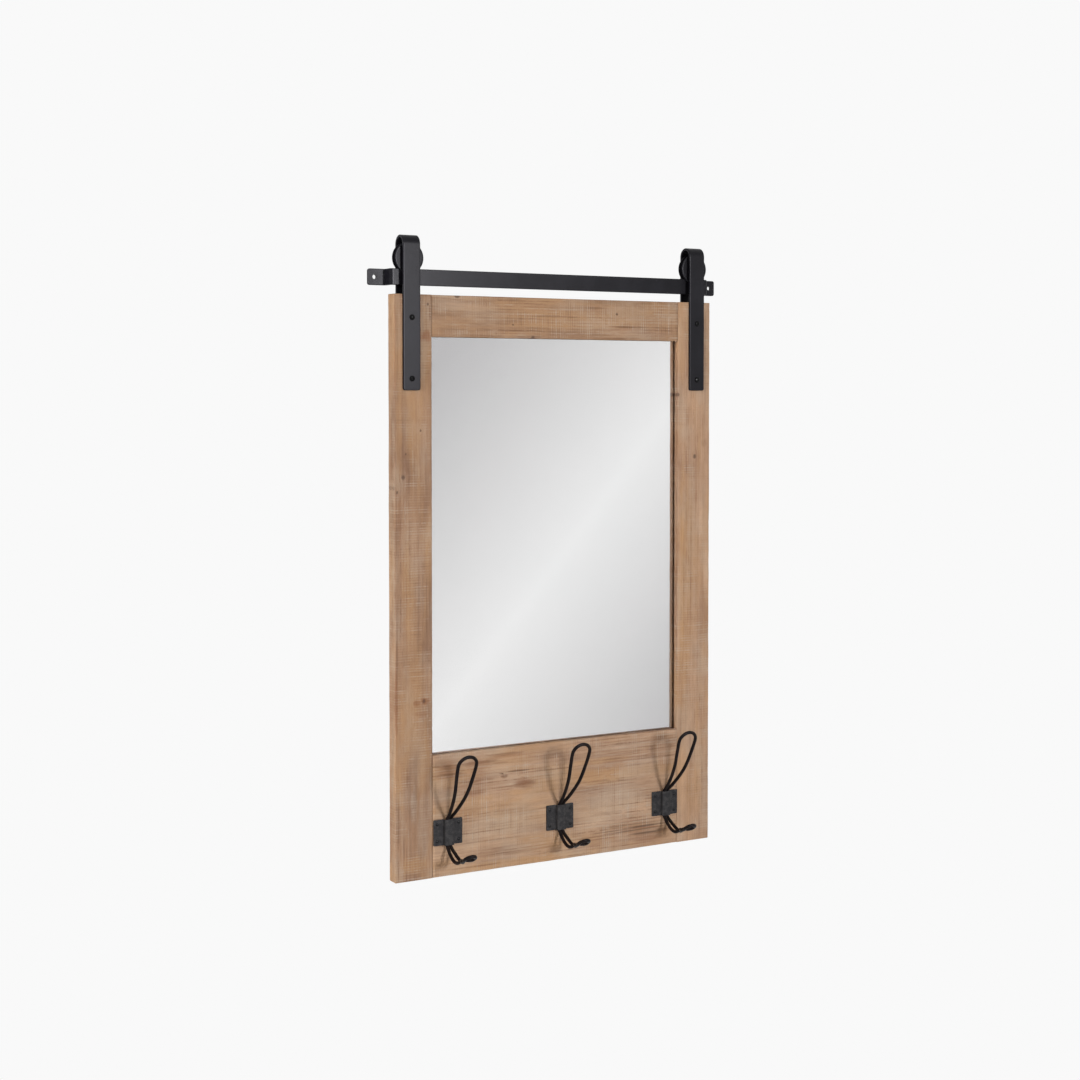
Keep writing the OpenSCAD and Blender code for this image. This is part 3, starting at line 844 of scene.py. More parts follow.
ear_y = -BAR_T / 2
leg_x = rail_high.x - EAR_L - BEND_R
half_line = arc_line((leg_x - BEND_R, panel_mid_y + BEND_R), BEND_R, -90, 0, in_plan)
half_line += arc_line((leg_x + BEND_R, ear_y - BEND_R), BEND_R, 180, 90, in_plan)
half_line += [in_plan(rail_high.x, ear_y)]
rail = bent_bar("rail_bar", both_halves(half_line), Vector((0, 0, 1)), rail_high.z - rail_low.z,
                BAR_T, BAR_EDGE, EAR_ROUND)
for side in (-1, 1):
    drill(rail, side * (rail_high.x - EAR_HOLE_INSET), EAR_HOLE_R, -2 * BAR_T, BAR_T, 32)
finish(rail, powder_coat, "black_powder_coat", "rail", body="rail")

# %% [markdown]
# ## Straps
#
# Each strap is the same kind of bar, 25 mm wide, folded over the top edge of the frame so that
# the wheel sits in the fold. Its long front leg carries a bolt and a screw. The same sweep makes
# it, only along an upright line, with small steps round the fold, whose edge stands out against
# the wall.

# %% Straps
STRAP_T, STRAP_EDGE, STRAP_CORNER = 3.5 * MM, 0.8 * MM, 3 * MM
STRAP_BACK_DROP = 45 * MM
SIDES = ("left", "right")

for side in SIDES:
    low, high, middle = box_of(f"{side}_strap")
    leg = (high.y - low.y - STRAP_T) / 2
    bend_z = high.z - leg - STRAP_T / 2

    def upright(y, z):
        return Vector((middle.x, y, z))

    line = [upright(panel_mid_y - leg, low.z)]
    line += arc_line((panel_mid_y, bend_z), leg, 180, 0, upright, 28)
    line += [upright(panel_mid_y + leg, panel_top - STRAP_BACK_DROP)]
    strap = bent_bar(f"{side}_strap_bar", line, Vector((1, 0, 0)), high.x - low.x, STRAP_T,
                     STRAP_EDGE, STRAP_CORNER)
    finish(strap, powder_coat, "black_powder_coat", f"{side}_strap")

# %% [markdown]
# ## Wheels
#
# A turned disc with a groove for the rail, a rounded rim and a light turned step near the rim.
# The rim's round edge is what catches the light in the photograph. A bump map has no edge to
# catch it, so the edge is real geometry.

# %% Wheels
WHEEL_BORE, HUB_R = 3.05 * MM, 7.5 * MM
GROOVE_R, GROOVE_FLOOR, GROOVE_MOUTH = 14.2 * MM, 5 * MM, 7 * MM
RIM_ROUND, RIM_LAND, GROOVE_LIP, FACE_STEP = 1.2 * MM, 2.2 * MM, 0.3 * MM, 0.25 * MM

for side in SIDES:
    low, high, middle = box_of(f"{side}_wheel")
    rim, half = (high.x - low.x) / 2, (high.y - low.y) / 2
    land = rim - RIM_LAND
    outline = [(WHEEL_BORE, -half), (HUB_R, -half), (HUB_R + FACE_STEP, -half + FACE_STEP),
               (land - FACE_STEP, -half + FACE_STEP), (land, -half)]
    outline += round_corner((rim - RIM_ROUND, -half + RIM_ROUND), RIM_ROUND, -90, 0, 5)
    outline += [(rim - GROOVE_LIP, -GROOVE_MOUTH / 2), (GROOVE_R, -GROOVE_FLOOR / 2)]
    outline += [(r, -y) for r, y in reversed(outline)]
    wheel = move(lathe(f"{side}_wheel_disc", outline, steps=96), middle)
    finish(wheel, powder_coat, "black_powder_coat", f"{side}_wheel", body=f"{side}_wheel",
           angle=28)
    dress(f"{side}_wheel_spacers", black_screw)

# %% [markdown]
# ## Boards
#
# Rough-sawn boards are not true boxes. Their arrises are worn to a changing radius with a few
# nicks, and their faces are a fraction of a millimetre uneven. A bevelled box has arrises as
# even as a machine's, so a board is swept as a dense outline whose corner radius and surface
# follow noise, always inwards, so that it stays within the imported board. The rabbet for the
# glass is cut out afterwards.

# %% Outline of a worn board
BOARD_STEP = 4 * MM
ARRIS = 1.1 * MM
UNEVEN = 0.35 * MM
END_EASE = 0.35 * MM
WEAR_LUMPS, NICK_LUMPS = 38, 150   # a metre along the board
NICK_FROM = 0.42                   # noise above this is a nick
WEAR_SHARE, NICK_SHARE = 0.45, 2.2  # how much each changes the radius


def board_outline(half_w, half_t, place_along, seed, steps):
    """Points round a board at one place, with worn corners, as (across, depth) pairs. steps is
    the number of cells across its broad and its narrow side."""
    corners = []
    for quarter, (sx, sy) in enumerate(((1, 1), (-1, 1), (-1, -1), (1, -1))):
        wear = noise.noise(Vector((place_along * WEAR_LUMPS, quarter * 3.7, seed)))
        nick = noise.noise(Vector((place_along * NICK_LUMPS, quarter * 5.1, seed + 9)))
        radius = ARRIS * (1.0 + WEAR_SHARE * wear + NICK_SHARE * max(0.0, nick - NICK_FROM))
        corners.append(round_corner((sx * (half_w - radius), sy * (half_t - radius)), radius,
                                    90 * quarter, 90 * quarter + 90, 3))
    points = []
    for quarter, corner in enumerate(corners):
        points += corner
        following = corners[(quarter + 1) % 4][0]
        for k in range(1, steps[quarter % 2]):
            share = k / steps[quarter % 2]
            points.append(tuple(a + (b - a) * share for a, b in zip(corner[-1], following)))
    return points


# %% Boards
ROUGH_LUMPS, SLOW_LUMPS = (60, 90), (9, 12)    # a metre along and across the board
RABBET_PLAY = 0.1 * MM             # the rabbet is this much deeper than the glass
CUT_OVER = 5 * MM                  # the cutter stands out of the back


def sawn_board(name, node, upright, seed, material):
    low, high, middle = box_of(node)
    size = high - low
    length, width = (size.z, size.x) if upright else (size.x, size.z)
    count = round(length / BOARD_STEP)
    stops = [0, END_EASE] + [length * k / count for k in range(1, count)]
    stops += [length - END_EASE, length]
    cells = (round(width / BOARD_STEP), round(size.y / BOARD_STEP))
    rings = []
    for stop in stops:
        ease = END_EASE if stop in (0, length) else 0.0
        ring = []
        outline = board_outline(width / 2 - ease, size.y / 2 - ease, stop, seed, cells)
        for across, depth in outline:
            rough = noise.noise(Vector((stop * ROUGH_LUMPS[0], across * ROUGH_LUMPS[1],
                                        depth * ROUGH_LUMPS[1] + seed)))
            slow = noise.noise(Vector((stop * SLOW_LUMPS[0], across * SLOW_LUMPS[1], seed * 2.3)))
            inwards = UNEVEN * (0.5 + 0.3 * rough + 0.5 * slow)
            across -= math.copysign(inwards, across) * (abs(across) > width / 2 - 2 * ARRIS)
            depth -= math.copysign(inwards, depth) * (abs(depth) > size.y / 2 - 2 * ARRIS)
            along = stop - length / 2
            at = (across, depth, along) if upright else (along, depth, across)
            ring.append(middle + Vector(at))
        rings.append(ring)
    board = skin_rings(name, rings)
    cut_low = Vector((opening_left - rabbet, glass_low.y - RABBET_PLAY, opening_bottom - rabbet))
    cut_high = Vector((-opening_left + rabbet, panel_back + CUT_OVER, opening_top + rabbet))
    carve(board, block("rabbet", cut_low, cut_high))
    finish(board, material, "sawn_wood", node, angle=50)


sawn_board("left_stile_board", "left_stile", True, 1.3, left_wood)
sawn_board("right_stile_board", "right_stile", True, 4.6, right_wood)
sawn_board("top_cross_board", "top_board", False, 7.9, top_wood)
sawn_board("bottom_cross_board", "bottom_board", False, 11.2, bottom_wood)
dress("frame_dowels", beech)

# %% [markdown]
# ## Mirror
#
# A mirror is clear glass with silver on its back. A single shiny plate would do from afar. Built
# in two, the reflection of the frame starts one glass thickness behind the wood, and the dark
# line round the glass comes by itself. The silver lies inside the glass solid's own space.

# %% Mirror and backing
SILVER_T = 0.2 * MM
GLASS_ARRIS, SILVER_ARRIS, BACKING_ARRIS = 0.5 * MM, 0.05 * MM, 0.4 * MM
GLASS_GAP = 0.02 * MM


def pane(name, low, high, arris, material, slot, *nodes):
    made = block(name, low, high)
    bevel = made.modifiers.new("arris", "BEVEL")
    bevel.width = arris
    bevel.segments = 2
    apply_modifiers(made)
    finish(made, material, slot, *nodes, angle=10)


silver_front = glass_high.y - SILVER_T
pane("glass_pane", glass_low, Vector((glass_high.x, silver_front - GLASS_GAP, glass_high.z)),
     GLASS_ARRIS, clear_glass, "silvered_glass", "mirror_glass")
pane("mirror_silver", Vector((glass_low.x, silver_front, glass_low.z)), glass_high,
     SILVER_ARRIS, silver, "silvered_glass")
board_low, board_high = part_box("backing_board")
pane("backing_panel", board_low, board_high, BACKING_ARRIS, fibre_board, "fibre_board",
     "backing_board")

# %% [markdown]
# ## Two geometry trees
#
# A hook wire follows a path, and the small fixings repeat. Both are what Geometry Nodes are for.
# The first tree turns a closed line of edges into a round wire, with points a set step apart and
# a slightly uneven skin, as bent black iron has. The second puts a copy of a shape on every
# point, turned about Y by the point's own "turn" and by a seeded random amount, so that no two
# screws stand alike.


# %% Tree: wire along a line
def give_solid(graph, name, geometry, material):
    """Ends a tree: copies become real and take the material, because the export drops copies."""
    whole = graph.add("GeometryNodeRealizeInstances", {"Geometry": geometry})
    graph.give({name: graph.add("GeometryNodeSetMaterial", {"Geometry": whole,
                                                            "Material": material})})
    return graph.tree


def wire_tree():
    graph, given = new_group(
        "Wire along a line",
        {"Line": "Geometry", "Diameter": 4.5 * MM, "Step": 1.2 * MM, "Sides": 18,
         "Unevenness": 0.04 * MM, "Lumps a metre": 260.0, "Material": "Material"},
        {"Wire": "Geometry"}, "GeometryNodeTree")
    line = graph.add("GeometryNodeMeshToCurve", {0: given["Line"]})
    line = graph.add("GeometryNodeResampleCurve", {"Curve": line, "Length": given["Step"]},
                     mode="LENGTH")
    outline = graph.add("GeometryNodeCurvePrimitiveCircle",
                        {"Resolution": given["Sides"], "Radius": given["Diameter"] * 0.5})
    tube = graph.add("GeometryNodeCurveToMesh", {"Curve": line, "Profile Curve": outline})
    lump = graph.add("ShaderNodeTexNoise", {"Vector": graph.add("GeometryNodeInputPosition"),
                                            "Scale": given["Lumps a metre"], "Detail": 2.0})
    inwards = lump * given["Unevenness"] * -1.0
    normal = graph.add("GeometryNodeInputNormal")
    offset = graph.add("ShaderNodeVectorMath", {0: normal, "Scale": inwards}, operation="SCALE")
    tube = graph.add("GeometryNodeSetPosition", {"Geometry": tube, "Offset": offset})
    return give_solid(graph, "Wire", tube, given["Material"])


# %% Tree: shapes on points
def scatter_tree():
    graph, given = new_group(
        "Shapes on points",
        {"Points": "Geometry", "Shape": "Object", "Random turn": 0.0, "Seed": 1,
         "Material": "Material"}, {"Copies": "Geometry"}, "GeometryNodeTree")
    shape = graph.add("GeometryNodeObjectInfo", {"Object": given["Shape"]}, "Geometry")
    own = graph.add("GeometryNodeInputNamedAttribute", {"Name": "turn"}, data_type="FLOAT")
    chance = graph.add("FunctionNodeRandomValue", {3: given["Random turn"], "Seed": given["Seed"]},
                       1, data_type="FLOAT")
    angles = graph.join(0.0, own + chance, 0.0)
    copies = graph.add("GeometryNodeInstanceOnPoints",
                       {"Points": given["Points"], "Instance": shape, "Rotation": angles})
    return give_solid(graph, "Copies", copies, given["Material"])


# %% Running a tree
def run_tree(piece, tree, values):
    """Puts a tree on a piece with its named inputs, and keeps the mesh that it makes."""
    modifier = piece.modifiers.new(tree.name, "NODES")
    modifier.node_group = tree
    for item in tree.interface.items_tree:
        if item.in_out == "INPUT" and item.name in values:
            modifier[item.identifier] = values[item.name]
    apply_modifiers(piece)


WIRE, SCATTER = wire_tree(), scatter_tree()


def scatter(name, shapes, places, material, slot, *nodes, turns=None, random_turn=0.0, seed=1,
            angle=35):
    """One finished piece: a copy of every shape at every place. The shapes are used up."""
    parts = []
    for k, shape in enumerate(shapes):
        points = mesh_object(f"{name}_{k}", places)
        own = points.data.attributes.new("turn", "FLOAT", "POINT")
        own.data.foreach_set("value", turns or [0.0] * len(places))
        run_tree(points, SCATTER, {"Shape": shape, "Random turn": random_turn, "Seed": seed + k,
                                   "Material": material})
        bpy.data.objects.remove(shape)
        parts.append(points)
    finish(join(name, parts), material, slot, *nodes, angle=angle)


def join(name, parts):
    """Makes one piece of several."""
    shape = bmesh.new()
    for part in parts:
        shape.from_mesh(part.data)
        bpy.data.objects.remove(part)
    whole = mesh_object(name, ())
    shape.to_mesh(whole.data)
    shape.free()
    return whole


print("trees:", WIRE.name, "|", SCATTER.name)

# %% [markdown]
# ## Hook wires
#
# Each hook is one closed wire. Its two strands run side by side under the plate, part upwards
# into a tall loop that leans out from the board, and part again below into a crook that ends in
# an eye, whose outer end is tilted up. Half of the line is given as half the spread of the
# strands, the distance out from the board and the height over the plate's middle; the other half
# mirrors it, and a smooth curve through all of these points is what the wire tree follows. A
# bevelled curve object would give the same tube, but not its uneven skin. The mirror in the
# photograph shows no hooks, so the wires are hidden from gloss and from rays through the glass.

# %% Line of a hook wire, in millimetres
WIRE_D = 4.8
PAIR = WIRE_D / 2 + 0.05           # half the spread of strands that lie side by side
LOOP_R, LOOP_LEAN, LOOP_OUT, LOOP_UP = 13.6, 23, 59, 100.5
EYE_HALF_W, EYE_HALF_L, EYE_OUT, EYE_UP, EYE_TILT = 7.7, 8.8, 65.6, -23.1, 34
STRAND_RUN = [
    (12.8, 54, 88), (11.6, 49, 76.5), (10.2, 44, 65.5), (8.6, 37, 54), (6.6, 28, 42.5),
    (4.4, 17, 30.5), (PAIR + 0.5, 9.5, 23.5), (PAIR, 4.6, 19), (PAIR, 2.8, 15.5), (PAIR, 2.65, 6),
    (PAIR, 2.65, -6), (PAIR, 2.8, -15.5), (PAIR, 4.8, -19.3), (2.9, 9.2, -23.4), (3.7, 15, -27.4),
    (4.3, 21.5, -31.2), (4.5, 28, -33.9), (4.2, 34.5, -34.9), (3.3, 40, -33.4),
    (PAIR + 0.1, 43.4, -31.2), (PAIR, 45.6, -29.6), (3.7, 49.6, -28.7), (5.9, 54.5, -28.2)]


def half_loop(angle):
    """Point of the upper loop's half circle, which lies in a plane that leans out."""
    a, lean = math.radians(angle), math.radians(LOOP_LEAN)
    up = LOOP_R * math.sin(a)
    return (LOOP_R * math.cos(a), LOOP_OUT + up * math.sin(lean), LOOP_UP + up * math.cos(lean))


def half_eye(angle):
    """Point of the lower eye, whose outer end is tilted up."""
    a, tilt = math.radians(angle), math.radians(EYE_TILT)
    past = EYE_HALF_L * math.cos(a)
    return (EYE_HALF_W * math.sin(a), EYE_OUT + past * math.cos(tilt),
            EYE_UP + past * math.sin(tilt))


def wire_knots():
    half = [half_loop(a) for a in (90, 60, 30, 0)] + STRAND_RUN
    half += [half_eye(a) for a in (120, 80, 40, 0)]
    return half + [(-spread, out, up) for spread, out, up in half[-2:0:-1]]


def smooth_line(knots, steps=6):
    """Closed curve through the knots, each stretch bent by its two neighbours."""
    line = []
    for i in range(len(knots)):
        a, b, c, d = (Vector(knots[(i + k - 1) % len(knots)]) for k in range(4))
        for k in range(steps):
            t = k / steps
            line.append(0.5 * (2 * b + (c - a) * t + (2 * a - 5 * b + 4 * c - d) * t ** 2
                               + (3 * b - 3 * c + d - a) * t ** 3))
    return line


# %% Hook wires
HOOKS = ("left", "middle", "right")

for name in HOOKS:
    middle = box_of(f"{name}_hook_plate")[2]
    line = [(middle.x + x * MM, panel_front - out * MM, middle.z + up * MM)
            for x, out, up in smooth_line(wire_knots())]
    edges = [(k, (k + 1) % len(line)) for k in range(len(line))]
    wire = mesh_object(f"{name}_hook", line, edges=edges)
    run_tree(wire, WIRE, {"Diameter": WIRE_D * MM, "Material": hook_wire_iron})
    settle(wire)
    wire.visible_glossy = wire.visible_transmission = False
    finish(wire, hook_wire_iron, "wire_iron", f"{name}_hook_wire", angle=60)

# %% [markdown]
# ## Hook plates
#
# A plate is a strip of sheet iron pressed over the wire pair, so it is one more bent bar, now
# with its broad sides cut into small cells. The hammer left shallow dents all over it, and its
# outline is not quite straight. A bump map would leave the outline straight, so noise moves the
# points themselves, always inwards.

# %% Hook plates
PLATE_T, PLATE_EDGE, PLATE_CORNER = 1.6 * MM, 0.35 * MM, 1.5 * MM
PLATE_OVER = 0.9 * MM              # the sheet reaches this much past the solid's top and bottom
PLATE_CELL = 0.9 * MM
CHANNEL_W, CHANNEL_H = 14.8 * MM, 6.8 * MM
TOP_BEND, ROOT_BEND = 1.0 * MM, 1.2 * MM


def dent(piece, depth, lumps, seed, ragged=0.0):
    """Pushes points in along their normals by noise. ragged pulls the outline in more slowly."""
    normals = [v.normal.copy() for v in piece.data.vertices]
    for vertex, normal in zip(piece.data.vertices, normals):
        place = vertex.co * lumps + Vector((seed, 0, 0))
        push = depth * (0.5 + 0.5 * noise.noise(place))
        edge = ragged * (0.5 + 0.5 * noise.noise(place * 0.4 + Vector((0, seed, 9))))
        vertex.co -= normal * (push + edge * (1 - abs(normal.y)))


for k, name in enumerate(HOOKS):
    low, high, middle = box_of(f"{name}_hook_plate")
    flange_y = panel_front - PLATE_T / 2
    top_y = panel_front - CHANNEL_H + PLATE_T / 2
    wall_x = (CHANNEL_W - PLATE_T) / 2

    def over_board(x, y):
        return Vector((middle.x + x, y, middle.z))

    half = arc_line((wall_x - TOP_BEND, top_y + TOP_BEND), TOP_BEND, -90, 0, over_board, 6)
    half += arc_line((wall_x + ROOT_BEND, flange_y - ROOT_BEND), ROOT_BEND, 180, 90, over_board, 6)
    half += [Vector((high.x, flange_y, middle.z))]
    plate = bent_bar(f"{name}_plate_sheet", both_halves(half, middle.x), Vector((0, 0, 1)),
                     high.z - low.z + 2 * PLATE_OVER, PLATE_T, PLATE_EDGE, PLATE_CORNER, PLATE_CELL)
    dent(plate, depth=0.22 * MM, lumps=240, seed=3.1 + k, ragged=0.5 * MM)
    finish(plate, forged_iron, "dark_iron", f"{name}_hook_plate", angle=60)

# %% [markdown]
# ## Nails, screws and nuts
#
# All of these are turned shapes. A nail head is a low dome with hammer facets. A pan head screw
# has a cross recess, cut with two tapered blades, and a thread of rings on its shank, which is
# as much of a thread as anyone sees at this size. The heads are made once and scattered.


# %% Turned fixings
RIM_SHARE = 0.22                   # this much of a head's height stands upright at its rim
UNDER_EASE = 0.15 * MM             # the rim is drawn in by this much underneath
THREAD_ROOT, ROOT_PLACE = 0.76, 0.35    # radius between two rings of a thread, and its place
TIP_SHARE = 0.7                    # radius of a shank where its point begins
CROSS_W, CROSS_DEEP, CROSS_REACH = 0.26, 0.62, 0.58    # of the head's radius, height, radius
BLADE_ROOT, BLADE_TIP = 1.15, 0.55  # a blade narrows from the first to the second


def dome(radius, height, steps=6):
    """Outline of a domed head from its middle to its rim, resting on y = 0."""
    rim = RIM_SHARE * height
    curve = [(radius * math.sin(a), -rim - (height - rim) * math.cos(a))
             for a in (math.pi / 2 * k / steps for k in range(steps + 1))]
    return curve + [(radius, -rim * 0.3), (radius - UNDER_EASE, 0)]


def shank(radius, length, pitch=0.0, smooth=0.0):
    """Outline of a shank, plain or with thread rings past its smooth part, to its point."""
    place = smooth or length * 0.75
    run = [(radius, 0.05 * MM), (radius, place)]
    while pitch and place + pitch < length - radius:
        run += [(radius * THREAD_ROOT, place + pitch * ROOT_PLACE), (radius, place + pitch)]
        place += pitch
    return run + [(radius * TIP_SHARE, length - radius), (0, length)]


def blade(width, depth, reach):
    """Tapered blade that cuts one bar of a cross recess, standing on y = 0 and pointing to +Y."""
    ends = [(x * reach * taper, y, z * width / 2 * taper)
            for y, taper in ((-1 * MM, BLADE_ROOT), (depth, BLADE_TIP))
            for x in (-1, 1) for z in (-1, 1)]
    return mesh_object("blade", ends, BOX_FACES)


def cross_screw(name, head_r, head_h, outline, steps=32):
    """Pan head screw with a cross recess, its head on the -Y side of y = 0."""
    screw = lathe(name, dome(head_r, head_h) + outline, steps)
    for angle in (0, math.pi / 2):
        cutter = blade(CROSS_W * head_r, CROSS_DEEP * head_h, CROSS_REACH * head_r)
        carve(screw, move(settle(turn(cutter, angle)), (0, -head_h, 0)))
    return screw


def hex_nut(name, width, thick, bore):
    """Nut on y = 0 with chamfered corners, whose radius is the lesser of hexagon and cone. y is
    a share of the thickness, cone of the width and wide of the bore."""
    around = full_turn(60)
    rings = [[round_y(min(width / 2 / math.cos((a + math.pi / 6) % (math.pi / 3) - math.pi / 6),
                          width * cone), thick * y, a) for a in around]
             for y, cone in ((0, 0.5), (0.12, 0.6), (0.88, 0.6), (1, 0.5))]
    rings += [[round_y(bore * wide, thick * y, a) for a in around]
              for y, wide in ((1, 1.15), (0.9, 1), (0.1, 1), (0, 1.15))]
    return skin_rings(name, rings, closed=True)


# %% Nails of the hooks
NAIL_HEAD_R, NAIL_HEAD_H, NAIL_R, NAIL_L = 2.4 * MM, 1.3 * MM, 1.15 * MM, 14 * MM
NAIL_INSET, NAIL_SINK = 5.5 * MM, 0.02 * MM
ANY_WAY = 6.2                      # nearly a full turn, in radians

for k, name in enumerate(HOOKS):
    low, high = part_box(f"{name}_hook_plate")
    seed = 11 + 4 * k
    nail = lathe("nail", dome(NAIL_HEAD_R, NAIL_HEAD_H) + shank(NAIL_R, NAIL_L), steps=20)
    dent(nail, depth=0.12 * MM, lumps=420, seed=seed)
    places = [(x, panel_front - PLATE_T + NAIL_SINK, z)
              for x in (low.x + NAIL_INSET, high.x - NAIL_INSET)
              for z in (low.z + NAIL_INSET, high.z - NAIL_INSET)]
    scatter(f"{name}_plate_nails", [nail], places, nail_iron, "dark_iron",
            f"{name}_hook_nails", random_turn=ANY_WAY, seed=seed, angle=50)

# %% Bolts and screws of the straps
STRAP_HEAD_R, STRAP_HEAD_H, STRAP_SHANK_R = 3.9 * MM, 2.4 * MM, 1.95 * MM
BOLT_DROP, SCREW_DROP, SCREW_L = 31 * MM, 112.5 * MM, 15 * MM
BOLT_PITCH, SCREW_PITCH = 0.7 * MM, 1.4 * MM
NUT_W, NUT_T, BOLT_END = 7 * MM, 3.2 * MM, 0.5 * MM
board_t = panel_back - panel_front

for k, side in enumerate(SIDES):
    middle = box_of(f"{side}_strap")[2]
    bolt_l = board_t + 2 * STRAP_T + NUT_T + BOLT_END
    bolt = cross_screw("bolt", STRAP_HEAD_R, STRAP_HEAD_H,
                       shank(STRAP_SHANK_R, bolt_l, BOLT_PITCH, board_t + STRAP_T))
    screw = cross_screw("screw", STRAP_HEAD_R, STRAP_HEAD_H,
                        shank(STRAP_SHANK_R, SCREW_L + STRAP_T, SCREW_PITCH, 6 * MM))
    move(turn(screw, 0.5 + 0.7 * k), (0, 0, BOLT_DROP - SCREW_DROP))
    nut = move(hex_nut("nut", NUT_W, NUT_T, STRAP_SHANK_R), (0, board_t + 2 * STRAP_T, 0))
    scatter(f"{side}_strap_screws", [bolt, screw, nut],
            [(middle.x, panel_front - STRAP_T, panel_top - BOLT_DROP)], black_screw,
            "dark_iron", f"{side}_strap_fixings", angle=40)

# %% Axles with peened ends
AXLE_LIP = 0.3 * MM

for side in SIDES:
    low, high, middle = box_of(f"{side}_axle")
    half, radius = (high.y - low.y) / 2, (high.x - low.x) / 2
    outline = [(0, -half), (radius - AXLE_LIP, -half), (radius, -half + AXLE_LIP),
               (radius, half - AXLE_LIP), (radius - AXLE_LIP, half), (0, half)]
    pin = move(lathe(f"{side}_axle_pin", outline, steps=40), middle)
    finish(pin, powder_coat, "black_powder_coat", f"{side}_axle")

# %% [markdown]
# ## Back of the frame
#
# Nobody sees the back on the wall, but it must hold the glass. Spring clips screwed to the
# boards press on the backing, and two rubber feet keep the lower edge as far from the wall as
# the rail keeps the upper one. A clip is again a bent bar, scattered with its own turn, because
# ten clips made one by one would be ten chances to place one wrong.

# %% One clip
CLIP_T, CLIP_W, CLIP_FLANGE, CLIP_TONGUE = 1 * MM, 12 * MM, 14 * MM, 8 * MM
CLIP_HOLE_R, CLIP_HOLE_X, CLIP_BEND = 1.6 * MM, -8 * MM, 0.7 * MM
CLIP_GAP = 0.3 * MM                # between the wall of the clip and the wall of the rabbet
CLIP_EDGE, CLIP_CORNER = 0.2 * MM, 2.5 * MM

# Flange on y = 0 towards -X, tongue on the backing towards +X.
upper, lower = CLIP_T / 2, board_high.y - panel_back + CLIP_T / 2
wall = CLIP_GAP + CLIP_T / 2
line = [in_plan(-CLIP_FLANGE, upper)]
line += arc_line((wall - CLIP_BEND, upper - CLIP_BEND), CLIP_BEND, 90, 0, in_plan, 5)
line += arc_line((wall + CLIP_BEND, lower + CLIP_BEND), CLIP_BEND, 180, 270, in_plan, 5)
line += [in_plan(CLIP_TONGUE, lower)]
clip = bent_bar("clip", line, Vector((0, 0, 1)), CLIP_W, CLIP_T, CLIP_EDGE, CLIP_CORNER)
drill(clip, CLIP_HOLE_X, CLIP_HOLE_R, -CLIP_T, 2 * CLIP_T, 24)

# %% Clips and their screws
CLIP_SPREAD_X, CLIP_SPREAD_Z = 99 * MM, 194.8 * MM
PAN_HEAD_R, PAN_HEAD_H, PAN_SHANK_R, PAN_L = 3 * MM, 1.8 * MM, 1.45 * MM, 11 * MM

rabbet_x = -opening_left + rabbet
rabbet_top, rabbet_bottom = opening_top + rabbet, opening_bottom - rabbet
rabbet_middle = (rabbet_top + rabbet_bottom) / 2

clips = [((side * rabbet_x, panel_back, rabbet_middle + k * CLIP_SPREAD_Z), angle)
         for k in (-1, 0, 1) for side, angle in ((-1, 0.0), (1, math.pi))]
clips += [((x, panel_back, z), angle) for x in (-CLIP_SPREAD_X, CLIP_SPREAD_X)
          for z, angle in ((rabbet_top, math.pi / 2), (rabbet_bottom, -math.pi / 2))]
scatter("spring_clips", [clip], [place for place, _ in clips], zinc, "zinc_steel",
        "retainer_clips", turns=[angle for _, angle in clips])

clip_screw = cross_screw("clip_screw", PAN_HEAD_R, PAN_HEAD_H,
                         shank(PAN_SHANK_R, PAN_L, 1.0 * MM, 2 * MM), steps=24)
screw_places = [Vector(place) + Matrix.Rotation(angle, 3, "Y") @ Vector((CLIP_HOLE_X, CLIP_T, 0))
                for place, angle in clips]
scatter("clip_pan_screws", [turn(clip_screw, math.pi, "Z")], screw_places, zinc, "zinc_steel",
        "clip_screws", random_turn=1.5, seed=5)

# %% Rubber feet
FOOT_R, FOOT_TIP_R, FOOT_RISE = 8 * MM, 5.5 * MM, 30 * MM
FOOT_HOLE_R, FOOT_HOLE_DEEP = 2.0 * MM, 4 * MM
EASE = 0.4 * MM

foot_h = -panel_back
foot_x = box_of("left_strap")[2].x
foot = lathe("foot", [
    (0, 0), (FOOT_R - 0.3 * MM, 0), (FOOT_R, 0.3 * MM), (FOOT_R, 2 * MM),
    (FOOT_TIP_R + 0.9 * MM, foot_h - 1.3 * MM), (FOOT_TIP_R + 0.5 * MM, foot_h - EASE),
    (FOOT_TIP_R, foot_h), (FOOT_HOLE_R + 0.6 * MM, foot_h), (FOOT_HOLE_R + 0.2 * MM, foot_h - EASE),
    (FOOT_HOLE_R, foot_h - FOOT_HOLE_DEEP), (0, foot_h - FOOT_HOLE_DEEP)], steps=40)
places = [(side * foot_x, panel_back, panel_bottom + FOOT_RISE) for side in (-1, 1)]
scatter("rubber_feet", [foot], places, rubber, "black_rubber", "wall_bumpers",
        random_turn=ANY_WAY, seed=9)

# %% [markdown]
# ## Light
#
# The shadows of the hooks in the photograph fall to the left and down and have soft edges, so
# the key lamp stands 8 degrees to the right and 13 above, and is less than a metre wide. A wide
# lamp at the left brightens the sides of the boards and shows in no gloss. The third lamp does
# the opposite: it shows only in gloss, as the cool shine on the bars. No lamp is seen through
# the mirror's glass. The background is drawn by Light Path: rays that come from the camera or
# from gloss and glass see a pale backdrop, while all others get plain even light. The floor
# takes a real shadow near the object only, and is as pale as the backdrop further out.


# %% Lamps
OBJECT_MIDDLE = Vector((0, -0.03, -0.38))
LAMP_FACTOR = math.pi ** 2         # watts at 1 m for a light of 1


